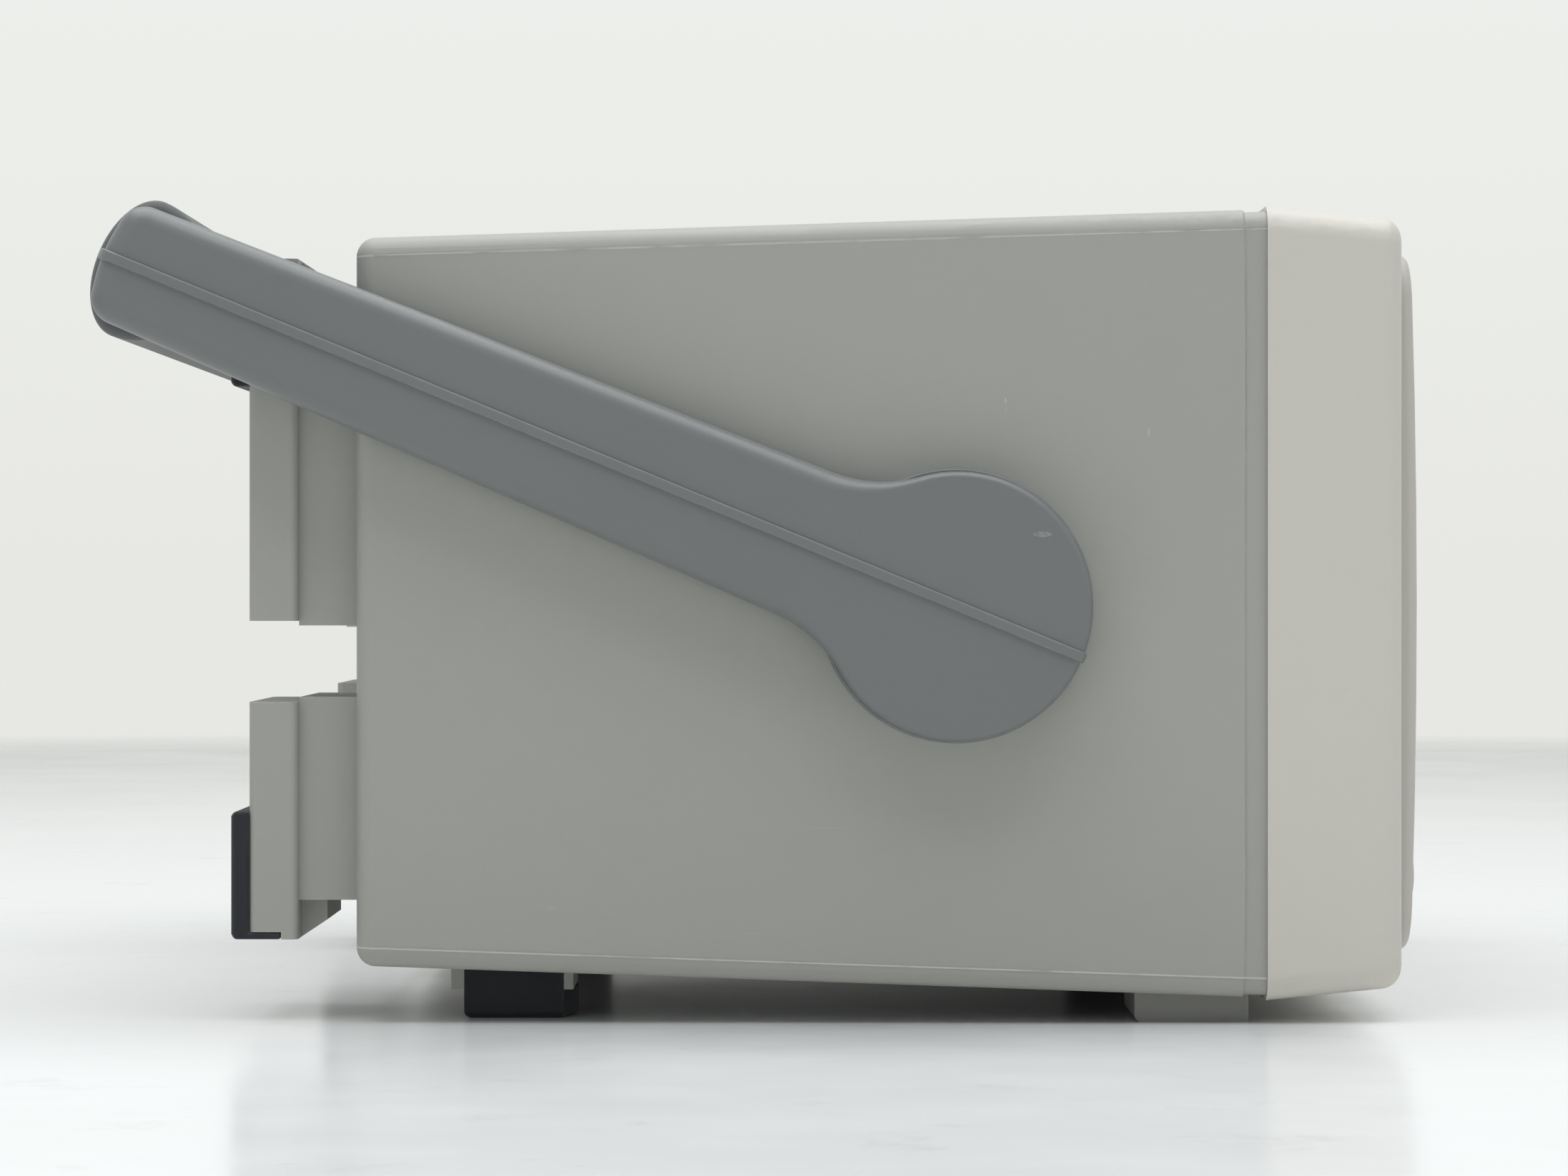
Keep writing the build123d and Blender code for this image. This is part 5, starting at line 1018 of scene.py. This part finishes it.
class OSCILLOSCOPE_OT_keys(bpy.types.Operator):
    """Finish the keys, the power button and the marks beside them"""
    bl_idname = "oscilloscope.keys"
    bl_label = "Keys and marks"

    def execute(self, context):
        values = settings("controls")
        finish_nodes("power_button", "disk_eject_button",
                     *(node for node in NODES if "_key" in node))
        tints = ((0.62, 0.45, 0.03), (0.05, 0.28, 0.55), (0.48, 0.08, 0.25),
                 (0.06, 0.35, 0.14))
        for number, colour in enumerate(tints, 1):
            finish = moulding(f"Channel {number} mark", colour, 0.40, mottle=0.05)
            key = middle(f"channel_key_{number}")
            low, high = corners(f"channel_key_{number}")
            face = low.y + KEY_PROUD
            half = values.mark_width / 2
            shape = bmesh.new()
            block_into(shape, (key.x - half, face - values.mark_height, high.z - 0.4 * MM),
                       (key.x + half, face + 0.6 * MM, high.z + 1.0 * MM), 0.12 * MM)
            piece = new_piece(f"channel_mark_{number}", shape, "cabinet", "key")
            dress(piece, finish)
        return {"FINISHED"}


class OSCILLOSCOPE_OT_display(bpy.types.Operator):
    """Finish the window and the display behind it"""
    bl_idname = "oscilloscope.display"
    bl_label = "Display"

    def execute(self, context):
        finish_nodes("display_window", "lcd_module", "display_bracket", "control_board")
        return {"FINISHED"}


class OSCILLOSCOPE_OT_connectors(bpy.types.Operator):
    """Finish the sockets, the calibrator posts and the disk drive"""
    bl_idname = "oscilloscope.connectors"
    bl_label = "Sockets and drive"

    def execute(self, context):
        finish_nodes("probe_calibrator", "mains_inlet", "disk_drive",
                     *(node for node in NODES if "socket" in node))
        return {"FINISHED"}


class OSCILLOSCOPE_OT_inside(bpy.types.Operator):
    """Finish the chassis, the boards, the fan, the rear plate and the screws"""
    bl_idname = "oscilloscope.inside"
    bl_label = "Chassis, fan and rear"

    def execute(self, context):
        finish_nodes("chassis_frame", "main_board", "acquisition_module", "power_supply",
                     "rear_panel", "fan_frame", "fan_rotor", "fan_guard", "case_screws",
                     "foot_screws")
        return {"FINISHED"}


# ---- stage ----
def floor_material(radius):
    """Glossy pale table top that fades out far from the object; where the camera sees it, its
    colour grows paler away from the middle as painted light.
    """
    material, tree, shader = new_material("Pale table top")
    where = object_place(tree)
    tone = clouds(tree, where, 1.6, 3.0, 0.5)
    away = place(tree, "ShaderNodeVectorMath", {0: where}, operation="LENGTH").outputs["Value"]
    near = blend_colour(tree, tone, (0.850, 0.880, 0.900, 1.0), (0.880, 0.910, 0.930, 1.0))
    # painted light: from 0.35 m to 1 m out the colour the camera sees grows paler, standing in
    # for the overhead lamp's light that falls off on the far table
    seen = blend_colour(tree, spread(tree, away, 0.35, 1.00), near, (0.93, 0.945, 0.955, 1.0))
    smudges = spread(tree, clouds(tree, where, 26.0, 5.0, 0.7), 0.60, 0.74, 0.0, 0.16)
    seen = blend_colour(tree, smudges, seen, (0.33, 0.33, 0.33, 1.0))
    # lamps and bounced light see one plain pale colour; only the camera sees the painted light
    looked_at = tree.nodes.new("ShaderNodeLightPath").outputs["Is Camera Ray"]
    tree.links.new(blend_colour(tree, looked_at, (0.92, 0.92, 0.91, 1.0), seen),
                   shader.inputs["Base Color"])
    shader.inputs["Specular IOR Level"].default_value = 0.12
    tree.links.new(spread(tree, clouds(tree, where, 9.0), 0.3, 0.7, 0.16, 0.24),
                   shader.inputs["Roughness"])
    tree.links.new(spread(tree, away, radius, radius + 0.4, 1.0, 0.0), shader.inputs["Alpha"])
    return material


def area_light(name, watts, size, place_at, aim):
    """A soft rectangular light aimed at a point."""
    data = bpy.data.lights.new(name, "AREA")
    data.energy = watts
    data.shape = "RECTANGLE"
    data.size, data.size_y = size
    light = linked(name, data)
    light.location = place_at
    light.rotation_euler = (Vector(aim) - Vector(place_at)).to_track_quat("-Z", "Y").to_euler()


def build_table(radius):
    """Round table top that fades out past a radius."""
    shape = bmesh.new()
    bmesh.ops.create_circle(shape, cap_ends=True, segments=96, radius=radius + 0.5)
    table = meshed("table_top", shape)
    table.data.materials.append(floor_material(radius))


def build_surroundings(scene):
    """Pale surroundings, bright where they are looked at and softer as a light."""
    world = bpy.data.worlds.new("Pale studio")
    world.use_nodes = True
    scene.world = world
    tree = world.node_tree
    back = tree.nodes["Background"]
    way = place(tree, "ShaderNodeSeparateXYZ",
                {0: tree.nodes.new("ShaderNodeTexCoord").outputs["Generated"]})
    risen = spread(tree, way.outputs["Z"], 0.0, 0.13)
    tree.links.new(blend_colour(tree, risen, (0.800, 0.807, 0.775, 1.0),
                                (0.855, 0.872, 0.846, 1.0)), back.inputs["Color"])
    paths = place(tree, "ShaderNodeLightPath").outputs
    seen = maths(tree, "MAXIMUM", paths["Is Camera Ray"], paths["Is Glossy Ray"])
    tree.links.new(spread(tree, seen, 0.0, 1.0, 0.33, 1.0), back.inputs["Strength"])


def build_camera(scene, values):
    """Level camera that looks at the instrument's left side."""
    data = bpy.data.cameras.new("Camera")
    data.lens = values.camera_lens
    data.sensor_width = 36.0
    data.clip_start = 0.02
    camera = linked("Camera", data)
    camera.location = (-values.camera_distance, 0.5 * MM, values.camera_height)
    camera.rotation_euler = Euler((math.radians(90.0), 0.0, math.radians(-90.0)))
    scene.camera = camera


class OSCILLOSCOPE_OT_stage(bpy.types.Operator):
    """Build the table top, the pale surroundings, the lights and the camera"""
    bl_idname = "oscilloscope.stage"
    bl_label = "Stage"

    def execute(self, context):
        values = settings("stage")
        scene = context.scene
        build_table(values.floor_radius)
        build_surroundings(scene)
        area_light("Overhead", values.key_power, (2.2, 2.2), (-0.28, 0.0, 1.75),
                   (-0.28, 0.0, 0.0))
        area_light("Near side", values.side_power, (1.4, 1.0), (-1.9, 0.9, 0.85),
                   (0.0, 0.0, 0.10))
        area_light("Front side", values.side_power, (1.2, 1.0), (-0.9, -1.9, 0.9),
                   (0.0, 0.0, 0.10))
        build_camera(scene, values)
        scene.view_settings.view_transform = "Standard"
        return {"FINISHED"}


# ---- panel and registration ----
STEPS = (OSCILLOSCOPE_OT_case, OSCILLOSCOPE_OT_handle_arms, OSCILLOSCOPE_OT_handle_grip,
         OSCILLOSCOPE_OT_feet, OSCILLOSCOPE_OT_rubber, OSCILLOSCOPE_OT_knobs,
         OSCILLOSCOPE_OT_keys, OSCILLOSCOPE_OT_display, OSCILLOSCOPE_OT_connectors,
         OSCILLOSCOPE_OT_inside, OSCILLOSCOPE_OT_stage)
GROUPS = {"case": OscilloscopeCaseSettings, "handle": OscilloscopeHandleSettings,
          "feet": OscilloscopeFootSettings, "controls": OscilloscopeControlSettings,
          "colours": OscilloscopeColourSettings, "stage": OscilloscopeStageSettings}


class OSCILLOSCOPE_PT_steps(bpy.types.Panel):
    """Lists the steps that build the oscilloscope's looks"""
    bl_idname = "OSCILLOSCOPE_PT_steps"
    bl_label = "Bench oscilloscope"
    bl_space_type = "VIEW_3D"
    bl_region_type = "UI"
    bl_category = "Oscilloscope"

    def draw(self, context):
        for group in GROUPS:
            box = self.layout.box()
            values = getattr(context.scene, f"oscilloscope_{group}")
            for key in values.__annotations__:
                box.prop(values, key)
        for step in STEPS:
            self.layout.operator(step.bl_idname)


def register():
    """Registers the settings, the steps and the panel."""
    for group, kind in GROUPS.items():
        bpy.utils.register_class(kind)
        setattr(bpy.types.Scene, f"oscilloscope_{group}", bpy.props.PointerProperty(type=kind))
    for step in STEPS:
        bpy.utils.register_class(step)
    bpy.utils.register_class(OSCILLOSCOPE_PT_steps)


def unregister():
    """Takes the panel, the steps and the settings out again."""
    bpy.utils.unregister_class(OSCILLOSCOPE_PT_steps)
    for step in reversed(STEPS):
        bpy.utils.unregister_class(step)
    for group, kind in GROUPS.items():
        delattr(bpy.types.Scene, f"oscilloscope_{group}")
        bpy.utils.unregister_class(kind)


def main():
    """Builds every piece."""
    register()
    build_effects()
    MATERIALS.update(build_materials())
    for step in STEPS:
        family, name = step.bl_idname.split(".")
        getattr(getattr(bpy.ops, family), name)()


if __name__ == "__main__":
    main()
